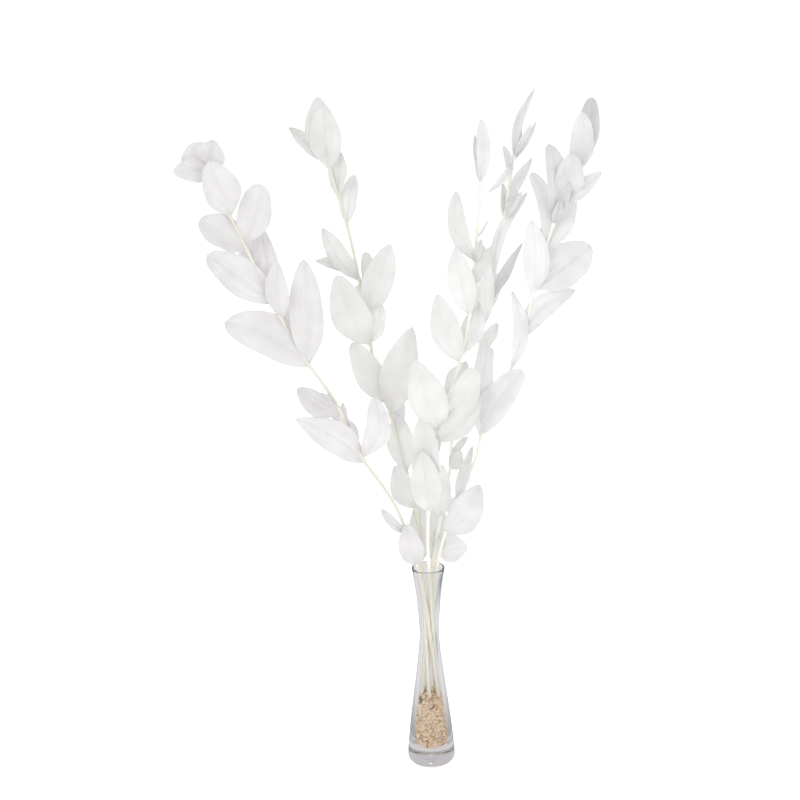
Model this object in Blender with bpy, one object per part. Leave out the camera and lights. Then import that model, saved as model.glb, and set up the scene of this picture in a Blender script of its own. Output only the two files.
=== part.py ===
"""Preserved ruscus branches in a waisted glass bud vase.

Units are metres and +Z is up. The origin is the middle of the vase's flat foot, and the vase
stands on the plane Z = 0. Seen along +Y, with +X to the right, the branches fan out as they do
from the front: one far to the left, one to the left, two in the middle and one to the right.

The nodes are the glass bottle, the filler of fine shavings in it, and one leafy stem for each
branch, with its leaves fused to it. The stems stand as a twisted bundle: they lean past each
other in the waist of the bottle without touching, as in a hand-tied bunch.
"""

import math
import random
from typing import NamedTuple

import bmesh
import bpy
from mathutils import Vector

MM = 0.001

# Glass bottle
BOTTLE_HEIGHT = 200 * MM
FOOT_RADIUS = 22.9 * MM
FOOT_ROUNDING = 5 * MM
LIP_ROUNDING = 1.1 * MM
FLOOR_THICKNESS = 16 * MM
BOTTLE_SIDES = 28
PROFILE_STEP = 22 * MM
# Outside of the wall above the rounded foot: height and radius in millimetres
OUTSIDE = ((12, 22.7), (40, 19.8), (66, 16.6), (99, 12.4), (122, 9.9), (137, 9.5), (150, 10.1),
           (172, 11.9), (190, 14.1), (200, 15.7))
# Inside of the wall, down to the corner above the floor: the glass grows thicker downwards
INSIDE = ((200, 13.6), (190, 11.7), (172, 9.0), (150, 6.5), (137, 5.6), (122, 6.0), (99, 8.4),
          (66, 12.3), (40, 15.3), (24, 16.7))
# Rounded corner of the hollow between its wall and its floor
CORNER_ROUNDING = 5 * MM
CORNER_START = -20
CORNER_STEPS = 3
FOOT_STEPS = 4
SHARP_ANGLE = math.radians(40)

# Filler of fine shavings
SEAT_GAP = 0.3 * MM
FILLER_EDGE_HEIGHT = 64 * MM
FILLER_MOUND = 8 * MM
FILLER_UNEVEN = 1.6 * MM
FILLER_HUMPS = 3
FILLER_RINGS = (0.25, 0.5, 0.75, 1.0)
HOLE_SIDES = 8
# The tool that cuts a stem's hole reaches this far above the filler
HOLE_REACH = 25 * MM

# Bundle of stems in the bottle: each is straight there and leans past one waist
BUNDLE_WAIST_HEIGHT = 137 * MM
BUNDLE_WAIST_RADIUS = 3.5 * MM
BUNDLE_LEAN = 0.105
STEM_FOOT_HEIGHT = 27 * MM
STRAIGHT_HEIGHTS = (27 * MM, 60 * MM, 95 * MM, 130 * MM, 160 * MM)

# Stems and leaves
STEM_RADIUS_LOW = 1.8 * MM
STEM_RADIUS_HIGH = 1.3 * MM
STEM_SIDES = 5
STEM_STEP = 24 * MM
CANOPY_TOP = 600 * MM
BLADE_THICKNESS = 0.8 * MM
PETIOLE_WIDTH = 2.0 * MM
# Where a blade's cross sections lie, as shares of its length
BLADE_STATIONS = (0.12, 0.28, 0.45, 0.62, 0.78, 0.92)
# Outline of a blade: where it is widest, how full it is, and how round its tip may get
WIDEST_LOW = 0.90
WIDEST_SHIFT = 0.12
FULLNESS = 0.88
TIP_ROUNDNESS = 0.42
# Lift of a blade's edges above its middle, and their wave, as shares of the half width
EDGE_LIFT = 0.16
EDGE_WAVE = 0.10
EDGE_WAVES = 1.5
LEAF_SEED = 7
FLAT_ANGLE = math.radians(0.5)

# Looks: colour, roughness and how much light passes through
GLASS_COLOUR = (0.93, 0.95, 0.95, 1)
GLASS_ROUGHNESS = 0.03
SHAVINGS_COLOUR = (0.74, 0.63, 0.52, 1)
SHAVINGS_ROUGHNESS = 0.9
LEAF_ROUGHNESS = 0.7

# Where the branches are looked at from: every x and z in the tables below is a point of the
# upright plane Y = 0 that hides the real point from this eye.
EYE = Vector((-22.8, -1100, 650)) * MM


class Leaf(NamedTuple):
    """One leaf. Lengths are millimetres on the upright plane, as the eye sees them."""

    root: float
    tip: tuple
    toward: float
    width: float
    turn: float = 0.0
    blunt: float = 0.25
    arch: float = 0.07
    sweep: float = 0.0


class Branch(NamedTuple):
    """One leafy stem: its place in the bundle, its route above the bottle and its leaves."""

    name: str
    bundle_angle: float
    route: tuple
    leaves: tuple
    colour: tuple


# Routes give x, z and depth behind the plane, in millimetres, chosen by eye from the front.
# Leaves give: height of the root on the stem, (x, z) of the tip, how far the tip comes toward
# the eye, width, turn in degrees (0 faces the eye), bluntness, arch and sideways sweep.

FAR_LEFT = Branch(
    "leafy_stem_far_left", -90,
    ((-9, 198, -4), (-22, 242, -6), (-31, 264, -8), (-43, 284, -11), (-57, 305, -13),
     (-68, 330, -16), (-83, 365, -19), (-104, 397, -23), (-122, 430, -26), (-143, 477, -29),
     (-163, 522, -31), (-184, 573, -31)),
    (
        Leaf(200, (-19, 244), 9, 24, -6, 0.5, 0.06, -0.03),
        Leaf(234, (-43, 258), 4, 11, 30, 1.1, 0.07, -0.10),
        Leaf(304, (-119, 348), 16, 29, 2, 0.2, 0.06, 0.06),
        Leaf(306, (-67, 334), 1, 5, 10, 0.1, -0.06),
        Leaf(309, (-45, 366), 7, 24, -8, 1.1, 0.05, 0.15),
        Leaf(330, (-75, 362), -12, 20, -58),
        Leaf(350, (-116, 376), -6, 22, 12, 0.8, 0.07, -0.09),
        Leaf(357, (-96, 371), 10, 14, 72),
        Leaf(396, (-178, 439), 14, 40, 15, 1.0, 0.08, 0.08),
        Leaf(398, (-105, 494), 6, 32, -16, 0.6, 0.07, 0.03),
        Leaf(406, (-92, 458), -12, 20, -52, 0.5),
        Leaf(441, (-129, 495), 13, 22, -20, 0.3),
        Leaf(448, (-142, 526), -13, 22, -14, 0.4),
        Leaf(454, (-190, 500), 2, 32, 8, 1.0, 0.06, 0.01),
        Leaf(503, (-196, 529), 10, 32, 26, 1.0, 0.07, 0.02),
        Leaf(507, (-140, 560), -8, 30, -12, 1.1, 0.07, 0.05),
        Leaf(533, (-184, 581), 12, 31, 0, 0.7, 0.07, 0.03),
        Leaf(568, (-215, 573), 12, 21, 12, 0.6, 0.07, 0.08),
        Leaf(571, (-198, 596), -9, 32, 10, 0.5, 0.07, -0.04),
        Leaf(571, (-179, 599), -1, 28, -18, 0.2),
        Leaf(318, (-84, 350), -38, 20, 20),
        Leaf(420, (-112, 462), -40, 24, -10),
        Leaf(486, (-158, 520), -38, 22, 10),
    ),
    (0.80, 0.77, 0.76, 1),
)

LEFT = Branch(
    "leafy_stem_left", -162,
    ((-6, 198, 6), (-7, 225, 7), (-9, 248, 8), (-12, 265, 9), (-22, 310, 11), (-34, 357, 13),
     (-45, 395, 15), (-51, 440, 17), (-61, 500, 18), (-70, 540, 17), (-84, 588, 14)),
    (
        Leaf(258, (-29, 301), 10, 23, 8, 0.8, 0.07, -0.07),
        Leaf(294, (-25, 351), -8, 25, 0, 0.6, 0.07, -0.03),
        Leaf(350, (-10, 431), 12, 34, -8, 0.4, 0.07, 0.0),
        Leaf(350, (-20, 363), -6, 10, -20, 0.3),
        Leaf(360, (-65, 418), 5, 28, 12, 0.8, 0.07, -0.03),
        Leaf(364, (-49, 409), -11, 18, -42, 0.3),
        Leaf(417, (-37, 453), 5, 18, -28, 0.6, 0.07, 0.08),
        Leaf(415, (-77, 479), 12, 35, 8, 0.7, 0.07, -0.08),
        Leaf(442, (-28, 506), 8, 28, -6, 0.6, 0.07, 0.02),
        Leaf(455, (-50, 499), -14, 16, -30, 1.2, 0.07, 0.15),
        Leaf(474, (-95, 492), 16, 16, 38, 0.3, 0.07, 0.07),
        Leaf(474, (-88, 521), 2, 21, 26, 0.5, 0.07, -0.09),
        Leaf(522, (-58, 566), -5, 16, -20, 1.1, 0.07, -0.01),
        Leaf(548, (-69, 586), -5, 20, -38, 0.4, 0.07, 0.01),
        Leaf(572, (-83, 628), 12, 28, -8, 0.35),
        Leaf(575, (-87, 633), -5, 25, 4, 0.6, 0.07, -0.06),
        Leaf(577, (-113, 608), -16, 14, 12, 0.2, 0.07, 0.01),
        Leaf(330, (-26, 372), -42, 16, 10),
        Leaf(432, (-58, 470), -40, 22, 15),
        Leaf(450, (-38, 490), -40, 20, -10),
        Leaf(204, (-8, 264), -8, 22, 6, 0.9),
    ),
    (0.79, 0.79, 0.77, 1),
)

CENTRE = Branch(
    "leafy_stem_centre", -18,
    ((1, 198, -9), (0, 228, -12), (2, 262, -14), (5, 290, -16), (10, 325, -18), (18, 350, -19),
     (25, 375, -20), (33, 400, -20), (40, 432, -20), (45, 465, -19), (47, 495, -17),
     (50, 530, -14), (52, 560, -11)),
    (
        Leaf(254, (-4, 314), 16, 28, 4, 0.7),
        Leaf(270, (-2, 348), 6, 27, -10, 0.9),
        Leaf(322, (51, 367), 4, 25, 12, 0.3, 0.07, 0.04),
        Leaf(333, (-8, 401), 14, 34, -6, 0.3),
        Leaf(345, (47, 391), 12, 26, -4, 1.2, 0.07, 0.08),
        Leaf(397, (12, 460), 8, 27, 12, 0.6, 0.07, -0.06),
        Leaf(404, (50, 452), -8, 22, -26, 0.3, 0.07, 0.09),
        Leaf(440, (29, 502), 8, 24, -6, 0.4, 0.07, -0.01),
        Leaf(466, (63, 502), 4, 16, -38, 0.4),
        Leaf(486, (53, 508), 8, 9, -20, 0.2),
        Leaf(488, (30, 550), 3, 17, 12, 0.9, 0.07, -0.13),
        Leaf(508, (59, 525), 0, 3, 20, 0.1, 0.03),
        Leaf(556, (47, 598), -4, 9, 35, 0.3, 0.07, -0.05),
        Leaf(556, (53, 611), 5, 12, -8, 1.1, 0.07, 0.05),
        Leaf(300, (6, 338), -24, 18, -15),
        Leaf(440, (40, 478), -30, 18, 20),
        Leaf(360, (38, 398), -30, 20, -20),
    ),
    (0.82, 0.81, 0.77, 1),
)

SLENDER = Branch(
    "leafy_stem_slender", 126,
    ((4, 198, 8), (8, 228, 10), (15, 262, 13), (22, 295, 16), (24, 325, 19), (31, 350, 22),
     (41, 375, 25), (48, 400, 28), (54, 432, 31), (61, 456, 33), (63, 480, 35), (65, 500, 36),
     (72, 525, 37), (76, 550, 37), (81, 581, 36)),
    (
        Leaf(232, (24, 212), 10, 14, 25, 0.3),
        Leaf(248, (15, 301), 5, 22, -10, 0.5),
        Leaf(297, (33, 313), 6, 17, -22, 0.4, 0.07, 0.08),
        Leaf(306, (39, 327), -4, 9, -30, 0.4),
        Leaf(410, (67, 432), 5, 16, -30, 0.6, 0.07, 0.12),
        Leaf(428, (54, 503), 4, 16, 20, 0.3),
        Leaf(450, (89, 504), 8, 14, -42, 0.4, 0.07, 0.06),
        Leaf(464, (93, 548), -4, 12, -24, 0.7, 0.07, -0.08),
        Leaf(524, (71, 557), -6, 8, 30, 0.2),
        Leaf(525, (88, 548), 6, 10, -25, 0.2),
        Leaf(530, (97, 577), 2, 11, -22, 0.5, 0.05, -0.02),
        Leaf(562, (72, 588), 5, 7, 10, 0.9, 0.07, 0.04),
        Leaf(576, (58, 548), 6, 7, 20, 0.2, 0.07, -0.12),
        Leaf(578, (85, 616), -5, 5, 15, 0.1, 0.07, 0.04),
        Leaf(579, (99, 636), 4, 8, -15, 0.1, 0.07, -0.06),
        Leaf(578, (96, 606), 7, 5, -20, 0.1, 0.1, 0.03),
        Leaf(575, (100, 608), -8, 6, -20, 0.1, 0.07, 0.06),
        Leaf(352, (43, 388), -40, 22, 10),
        Leaf(440, (66, 478), -38, 18, -12),
        Leaf(340, (30, 380), -34, 16, 14),
        Leaf(204, (11, 262), -16, 24, 0, 0.9),
    ),
    (0.84, 0.83, 0.78, 1),
)

RIGHT = Branch(
    "leafy_stem_right", 54,
    ((8, 198, -1), (15, 228, -2), (25, 258, -2), (36, 282, -1), (46, 306, 0), (52, 330, 1),
     (62, 358, 2), (77, 385, 2), (84, 410, 0), (94, 440, -3), (100, 468, -6), (108, 496, -9),
     (117, 524, -11), (128, 550, -12), (137, 568, -12)),
    (
        Leaf(211, (38, 219), 12, 27, -12, 0.6, 0.07, -0.08),
        Leaf(232, (50, 280), 10, 31, -8, 0.7, 0.07, 0.09),
        Leaf(262, (43, 318), -6, 14, -38, 0.5, 0.07, 0.07),
        Leaf(328, (89, 389), 10, 28, -10, 1.1, 0.07, -0.05),
        Leaf(324, (57, 412), -8, 21, 10, 1.6, 0.07, -0.05),
        Leaf(388, (79, 462), 8, 15, 12, 0.5, 0.07, 0.10),
        Leaf(416, (136, 461), 9, 22, -10, 0.6, 0.07, -0.11),
        Leaf(456, (96, 524), 8, 23, 10, 0.6, 0.07, 0.04),
        Leaf(462, (149, 500), -8, 38, -8, 0.9, 0.07, 0.01),
        Leaf(500, (96, 565), -4, 17, 15, 1.1, 0.07, 0.10),
        Leaf(494, (134, 544), -12, 27, -14, 0.4),
        Leaf(518, (111, 589), 6, 20, 8, 1.0, 0.07, 0.09),
        Leaf(519, (122, 542), 10, 9, 20, 0.3),
        Leaf(537, (157, 564), 8, 15, -12, 0.4, 0.07, 0.03),
        Leaf(540, (132, 581), 12, 24, 6, 0.8, 0.07, 0.03),
        Leaf(562, (140, 615), 4, 21, 8, 0.9, 0.07, 0.04),
        Leaf(564, (148, 627), -8, 20, -15, 1.1, 0.07, 0.06),
        Leaf(242, (42, 276), -36, 20, -10),
        Leaf(342, (84, 378), -38, 22, -12),
        Leaf(478, (112, 520), -40, 24, 8),
    ),
    (0.78, 0.79, 0.79, 1),
)

BRANCHES = (FAR_LEFT, LEFT, CENTRE, SLENDER, RIGHT)


def clear_scene():
    """Remove the objects and meshes that the file starts with."""
    for old in list(bpy.data.objects):
        bpy.data.objects.remove(old, do_unlink=True)


def material(name, colour, roughness, transmission=0.0):
    """A plain Principled material in the sub-part's colour."""
    made = bpy.data.materials.new(name)
    made.use_nodes = True
    shader = made.node_tree.nodes["Principled BSDF"]
    shader.inputs["Base Color"].default_value = colour
    shader.inputs["Roughness"].default_value = roughness
    shader.inputs["Transmission Weight"].default_value = transmission
    made.diffuse_color = colour
    return made


def add_object(name, mesh, look):
    """Link a mesh to the scene as a named object with its material."""
    made = bpy.data.objects.new(name, mesh)
    bpy.context.scene.collection.objects.link(made)
    mesh.materials.append(look)
    return made


def smooth_through(points, step):
    """A smooth curve through the points, sampled about every step."""
    ends = [points[0] * 2 - points[1]] + list(points) + [points[-1] * 2 - points[-2]]
    sampled = [points[0].copy()]
    for before, start, end, after in zip(ends, ends[1:], ends[2:], ends[3:]):
        pieces = max(1, round((end - start).length / step))
        for piece in range(1, pieces + 1):
            t = piece / pieces
            leave = (end - before) * 0.5
            arrive = (after - start) * 0.5
            blend = 3 * t * t - 2 * t ** 3
            sampled.append(start * (1 - blend) + end * blend
                           + leave * (t ** 3 - 2 * t * t + t) + arrive * (t ** 3 - t * t))
    return sampled


def arc(centre, radius, start_degrees, end_degrees, steps):
    """Points of an arc in the (radius, height) plane of a turned profile."""
    points = []
    for index in range(steps + 1):
        angle = math.radians(start_degrees + (end_degrees - start_degrees) * index / steps)
        points.append((centre[0] + radius * math.cos(angle), centre[1] + radius * math.sin(angle)))
    return points


def wall_curve(rows, step):
    """A smooth profile through (height, radius) rows given in millimetres."""
    points = [Vector((radius, 0, height)) * MM for height, radius in rows]
    return [(point.x, point.z) for point in smooth_through(points, step)]


def radius_at(profile, height):
    """The radius of a profile at a height, read along its straight pieces."""
    ordered = sorted(profile, key=lambda point: point[1])
    for (low_radius, low), (high_radius, high) in zip(ordered, ordered[1:]):
        if low <= height <= high:
            return low_radius + (high_radius - low_radius) * (height - low) / (high - low)
    return ordered[0][0]


def turned_mesh(name, profile, sides, lift=None):
    """Turn an open (radius, height) profile, whose two ends lie on the axis, about Z."""
    shape = bmesh.new()
    rings = []
    for radius, height in profile:
        if radius == 0.0:
            rings.append([shape.verts.new((0, 0, height))])
            continue
        ring = []
        for side in range(sides):
            angle = math.tau * side / sides
            raised = height if lift is None else height + lift(radius, height, angle)
            ring.append(shape.verts.new((radius * math.cos(angle), radius * math.sin(angle), raised)))
        rings.append(ring)
    for lower, upper in zip(rings, rings[1:]):
        for side in range(sides):
            after = (side + 1) % sides
            if len(lower) == 1:
                shape.faces.new((lower[0], upper[after], upper[side]))
            elif len(upper) == 1:
                shape.faces.new((lower[side], lower[after], upper[0]))
            else:
                shape.faces.new((lower[side], lower[after], upper[after], upper[side]))
    bmesh.ops.triangulate(shape, faces=shape.faces[:])
    bmesh.ops.recalc_face_normals(shape, faces=shape.faces[:])
    mesh = bpy.data.meshes.new(name)
    shape.to_mesh(mesh)
    shape.free()
    return mesh


def hollow_profile(inset):
    """The bottle's hollow from its mouth down to the middle of its floor, made smaller by inset."""
    wall = wall_curve(INSIDE, PROFILE_STEP)
    bottom_radius = wall[-1][0]
    corner = (bottom_radius - CORNER_ROUNDING, FLOOR_THICKNESS + CORNER_ROUNDING)
    rounded = arc(corner, CORNER_ROUNDING, CORNER_START, -90, CORNER_STEPS)
    profile = [(radius - inset, height) for radius, height in wall]
    profile += [(radius - inset, height + inset) for radius, height in rounded]
    profile.append((0.0, FLOOR_THICKNESS + inset))
    return profile


def build_bottle():
    """The clear bottle: thick foot, narrow waist, flared mouth with a rounded lip."""
    foot_middle = (FOOT_RADIUS - FOOT_ROUNDING, FOOT_ROUNDING)
    foot = arc(foot_middle, FOOT_ROUNDING, -90, 0, FOOT_STEPS)
    outside = wall_curve(OUTSIDE, PROFILE_STEP)
    inside = hollow_profile(0.0)
    lip_middle = (outside[-1][0] + inside[0][0]) / 2
    profile = [(0.0, 0.0)] + foot + outside[:-1]
    profile.append((outside[-1][0], BOTTLE_HEIGHT - LIP_ROUNDING))
    profile.append((lip_middle + LIP_ROUNDING / 2, BOTTLE_HEIGHT))
    profile.append((lip_middle - LIP_ROUNDING / 2, BOTTLE_HEIGHT))
    profile.append((inside[0][0], BOTTLE_HEIGHT - LIP_ROUNDING))
    profile += inside[1:]
    mesh = turned_mesh("bottle", profile, BOTTLE_SIDES)
    mesh.shade_smooth()
    mesh.set_sharp_from_angle(angle=SHARP_ANGLE)
    look = material("clear_glass", GLASS_COLOUR, GLASS_ROUGHNESS, transmission=1.0)
    return add_object("bottle", mesh, look)


def stand_in_bundle(branch, height):
    """Where a stem's centre passes in the bottle: straight lines leaning round one waist."""
    angle = math.radians(branch.bundle_angle)
    outward = Vector((math.cos(angle), math.sin(angle), 0))
    sideways = Vector((math.sin(angle), -math.cos(angle), 0))
    rise = height - BUNDLE_WAIST_HEIGHT
    return outward * BUNDLE_WAIST_RADIUS + sideways * rise * BUNDLE_LEAN + Vector((0, 0, height))


def seen_point(x, z, depth):
    """The point at a depth behind the upright plane that the plane's point (x, z) hides."""
    on_plane = Vector((x, 0, z)) * MM
    return EYE + (on_plane - EYE) * (1 + depth * MM / -EYE.y)


def stem_route(branch):
    """Centre line of a stem from its foot in the filler to its top."""
    points = [stand_in_bundle(branch, height) for height in STRAIGHT_HEIGHTS]
    points += [seen_point(*row) for row in branch.route]
    return smooth_through(points, STEM_STEP)


def stem_radius(height):
    """Stems grow thinner towards their tops."""
    share = min(1.0, max(0.0, height / CANOPY_TOP))
    return STEM_RADIUS_LOW + (STEM_RADIUS_HIGH - STEM_RADIUS_LOW) * share


def tube_mesh(name, centres, radii, sides):
    """A closed tube with flat ends along a centre line."""
    shape = bmesh.new()
    rings = []
    across = Vector((1, 0, 0))
    for index, centre in enumerate(centres):
        before = centres[max(0, index - 1)]
        after = centres[min(len(centres) - 1, index + 1)]
        along = (after - before).normalized()
        across = (across - along * across.dot(along)).normalized()
        beside = along.cross(across)
        ring = []
        for side in range(sides):
            angle = math.tau * side / sides
            offset = across * math.cos(angle) + beside * math.sin(angle)
            ring.append(shape.verts.new(centre + offset * radii[index]))
        rings.append(ring)
    for lower, upper in zip(rings, rings[1:]):
        for side in range(sides):
            after = (side + 1) % sides
            shape.faces.new((lower[side], lower[after], upper[after], upper[side]))
    shape.faces.new(list(reversed(rings[0])))
    shape.faces.new(rings[-1])
    bmesh.ops.triangulate(shape, faces=shape.faces[:])
    mesh = bpy.data.meshes.new(name)
    shape.to_mesh(mesh)
    shape.free()
    return mesh


def outline_share(t, blunt):
    """Half width of the leaf's outline, as a share of its widest, at t from root to tip."""
    widest = WIDEST_LOW + WIDEST_SHIFT * blunt
    return math.sin(math.pi * t ** widest) ** (FULLNESS - TIP_ROUNDNESS * blunt * t)


def stem_at(branch, leaf_height):
    """The point of the stem's centre line that the eye sees at a height on the plane."""
    rows = branch.route
    for (low_x, low_z, low_depth), (high_x, high_z, high_depth) in zip(rows, rows[1:]):
        if leaf_height <= high_z:
            share = (leaf_height - low_z) / (high_z - low_z)
            depth = low_depth + (high_depth - low_depth) * share
            return seen_point(low_x + (high_x - low_x) * share, leaf_height, depth), depth
    return seen_point(*rows[-1]), rows[-1][2]


def blade_mesh(name, root, tip, leaf, wave):
    """A thin closed blade: cupped across, arched along, with a waved edge and a pointed tip."""
    along = (tip - root).normalized()
    length = (tip - root).length
    toward_eye = EYE - (root + tip) / 2
    facing = (toward_eye - along * toward_eye.dot(along)).normalized()
    beside = along.cross(facing)
    turn = math.radians(leaf.turn)
    normal = facing * math.cos(turn) + beside * math.sin(turn)
    across = beside * math.cos(turn) - facing * math.sin(turn)
    half_widest = leaf.width * MM / 2

    def section(t, sides):
        half = half_widest * outline_share(t, leaf.blunt) if t else PETIOLE_WIDTH / 2
        bulge = math.sin(math.pi * t)
        middle = root + along * length * t
        middle += normal * length * leaf.arch * bulge
        middle += across * length * leaf.sweep * bulge
        points = []
        for side in sides:
            raised = half * EDGE_LIFT * abs(side)
            raised += half * EDGE_WAVE * side * math.sin(math.tau * EDGE_WAVES * t + wave)
            points.append(middle + across * half * side + normal * raised)
        return points

    rows = [section(0.0, (-1, 1))]
    rows += [section(t, (-1, 0, 1)) for t in BLADE_STATIONS]
    rows.append(section(1.0, (0,)))
    shape = bmesh.new()
    offset = normal * BLADE_THICKNESS / 2
    front = [[shape.verts.new(point + offset) for point in row] for row in rows]
    back = [[shape.verts.new(point - offset) for point in row] for row in rows]

    def both_faces(*places):
        shape.faces.new([front[row][side] for row, side in places])
        shape.faces.new([back[row][side] for row, side in reversed(places)])

    both_faces((0, 0), (0, 1), (1, 1))
    both_faces((0, 0), (1, 1), (1, 0))
    both_faces((0, 1), (1, 2), (1, 1))
    last = len(BLADE_STATIONS)
    for row in range(1, last):
        for side in (0, 1):
            both_faces((row, side), (row, side + 1), (row + 1, side + 1))
            both_faces((row, side), (row + 1, side + 1), (row + 1, side))
    both_faces((last, 0), (last, 1), (last + 1, 0))
    both_faces((last, 1), (last, 2), (last + 1, 0))
    rim = [(row, 0) for row in range(last + 1)] + [(last + 1, 0)]
    rim += [(row, 2) for row in range(last, 0, -1)] + [(0, 1)]
    for (row, side), (next_row, next_side) in zip(rim, rim[1:] + rim[:1]):
        a, b = front[row][side], front[next_row][next_side]
        c, d = back[next_row][next_side], back[row][side]
        shape.faces.new((a, b, c))
        shape.faces.new((a, c, d))
    mesh = bpy.data.meshes.new(name)
    shape.to_mesh(mesh)
    shape.free()
    return mesh


def join_flat_faces(mesh):
    """Join the faces of one plane that the union has split, then split them into triangles."""
    shape = bmesh.new()
    shape.from_mesh(mesh)
    bmesh.ops.dissolve_limit(shape, angle_limit=FLAT_ANGLE, verts=shape.verts[:], edges=shape.edges[:])
    bmesh.ops.triangulate(shape, faces=shape.faces[:])
    shape.to_mesh(mesh)
    shape.free()


def fuse(base, parts):
    """Join the parts to the base with one union, then remove them."""
    group = bpy.data.collections.new(base.name + "_parts")
    bpy.context.scene.collection.children.link(group)
    for part in parts:
        bpy.context.scene.collection.objects.unlink(part)
        group.objects.link(part)
    union = base.modifiers.new("union", "BOOLEAN")
    union.operation = "UNION"
    union.operand_type = "COLLECTION"
    union.collection = group
    union.solver = "EXACT"
    bpy.context.view_layer.objects.active = base
    bpy.ops.object.modifier_apply(modifier=union.name)
    for part in parts:
        bpy.data.objects.remove(part, do_unlink=True)
    bpy.data.collections.remove(group)
    join_flat_faces(base.data)


def build_leafy_stem(branch, draw):
    """One branch: its tapering stem with every leaf fused to it."""
    centres = stem_route(branch)
    radii = [stem_radius(centre.z) for centre in centres]
    look = material(branch.name + "_look", branch.colour, LEAF_ROUGHNESS)
    stem = add_object(branch.name, tube_mesh(branch.name, centres, radii, STEM_SIDES), look)
    blades = []
    for index, leaf in enumerate(branch.leaves):
        root, root_depth = stem_at(branch, leaf.root)
        tip = seen_point(leaf.tip[0], leaf.tip[1], root_depth - leaf.toward)
        name = f"{branch.name}_blade_{index}"
        blade = blade_mesh(name, root, tip, leaf, draw.uniform(0, math.tau))
        blades.append(add_object(name, blade, look))
    fuse(stem, blades)
    return stem


def build_filler():
    """The mound of shavings, clear of the glass all round, with a plain hole for each stem."""
    inside = hollow_profile(SEAT_GAP)
    edge_radius = radius_at(inside, FILLER_EDGE_HEIGHT)
    below = [point for point in inside if point[1] < FILLER_EDGE_HEIGHT]
    top = [(edge_radius * share, FILLER_EDGE_HEIGHT + FILLER_MOUND * (1 - share * share))
           for share in FILLER_RINGS]
    profile = [(0.0, FILLER_EDGE_HEIGHT + FILLER_MOUND)] + top + below

    def uneven(radius, height, angle):
        if height < FILLER_EDGE_HEIGHT or radius >= edge_radius:
            return 0.0
        return FILLER_UNEVEN * math.sin(FILLER_HUMPS * angle) * radius / edge_radius

    mesh = turned_mesh("filler", profile, BOTTLE_SIDES, uneven)
    filler = add_object("filler", mesh, material("shavings", SHAVINGS_COLOUR, SHAVINGS_ROUGHNESS))
    for branch in BRANCHES:
        low = stand_in_bundle(branch, STEM_FOOT_HEIGHT - SEAT_GAP)
        high = stand_in_bundle(branch, FILLER_EDGE_HEIGHT + FILLER_MOUND + HOLE_REACH)
        radius = (STEM_RADIUS_LOW + SEAT_GAP) / math.cos(math.pi / HOLE_SIDES)
        cutter_mesh = tube_mesh("hole", [low, high], [radius, radius], HOLE_SIDES)
        cutter = bpy.data.objects.new("hole", cutter_mesh)
        bpy.context.scene.collection.objects.link(cutter)
        cut = filler.modifiers.new("hole", "BOOLEAN")
        cut.operation = "DIFFERENCE"
        cut.object = cutter
        cut.solver = "EXACT"
        bpy.context.view_layer.objects.active = filler
        bpy.ops.object.modifier_apply(modifier=cut.name)
        bpy.data.objects.remove(cutter, do_unlink=True)
    filler.data.shade_smooth()
    filler.data.set_sharp_from_angle(angle=SHARP_ANGLE)
    return filler


def main():
    """Build the bottle, the filler and the leafy stems."""
    clear_scene()
    build_bottle()
    build_filler()
    draw = random.Random(LEAF_SEED)
    for branch in BRANCHES:
        build_leafy_stem(branch, draw)


main()
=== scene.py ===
"""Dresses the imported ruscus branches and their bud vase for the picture.

Lengths are metres unless a name or comment says millimetres, +Z is up, and the vase stands at the
origin. Every stem and leaf is made again where the CAD has it, from the same numbers, but finer:
thin veined blades on tapered stems, a smooth glass wall, and loose chips in place of the filler.
"""

import logging
import math
import random
from collections.abc import Callable, Iterator, Sequence
from contextlib import contextmanager
from dataclasses import dataclass, field
from enum import Enum
from typing import NamedTuple

import bmesh
import bpy
import numpy as np
from mathutils import Euler, Matrix, Vector

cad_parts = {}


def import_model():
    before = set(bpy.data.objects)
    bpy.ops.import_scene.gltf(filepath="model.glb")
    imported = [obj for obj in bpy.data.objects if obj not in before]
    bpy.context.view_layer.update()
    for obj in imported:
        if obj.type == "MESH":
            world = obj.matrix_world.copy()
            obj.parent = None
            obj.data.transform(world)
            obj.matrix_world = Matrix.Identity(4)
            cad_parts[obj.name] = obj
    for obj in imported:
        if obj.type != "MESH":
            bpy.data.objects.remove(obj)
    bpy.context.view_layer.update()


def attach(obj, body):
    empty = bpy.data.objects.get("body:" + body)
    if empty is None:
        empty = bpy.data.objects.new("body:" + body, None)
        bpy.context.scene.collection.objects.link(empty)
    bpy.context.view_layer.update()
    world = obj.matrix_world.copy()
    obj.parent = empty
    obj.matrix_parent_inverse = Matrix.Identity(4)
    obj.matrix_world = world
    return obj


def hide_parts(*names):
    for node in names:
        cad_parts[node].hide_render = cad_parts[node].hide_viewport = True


LOG = logging.getLogger("ruscus_vase")
MM = 0.001
BODY = "root"

# Every x and z in the tables below is a point of the upright plane Y = 0, in millimetres, that
# hides the real point from this eye.
EYE = Vector((-22.8, -1100, 650)) * MM

Colour = tuple[float, float, float, float]
Profile = list[tuple[float, float]]


# Shared shapes


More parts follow.
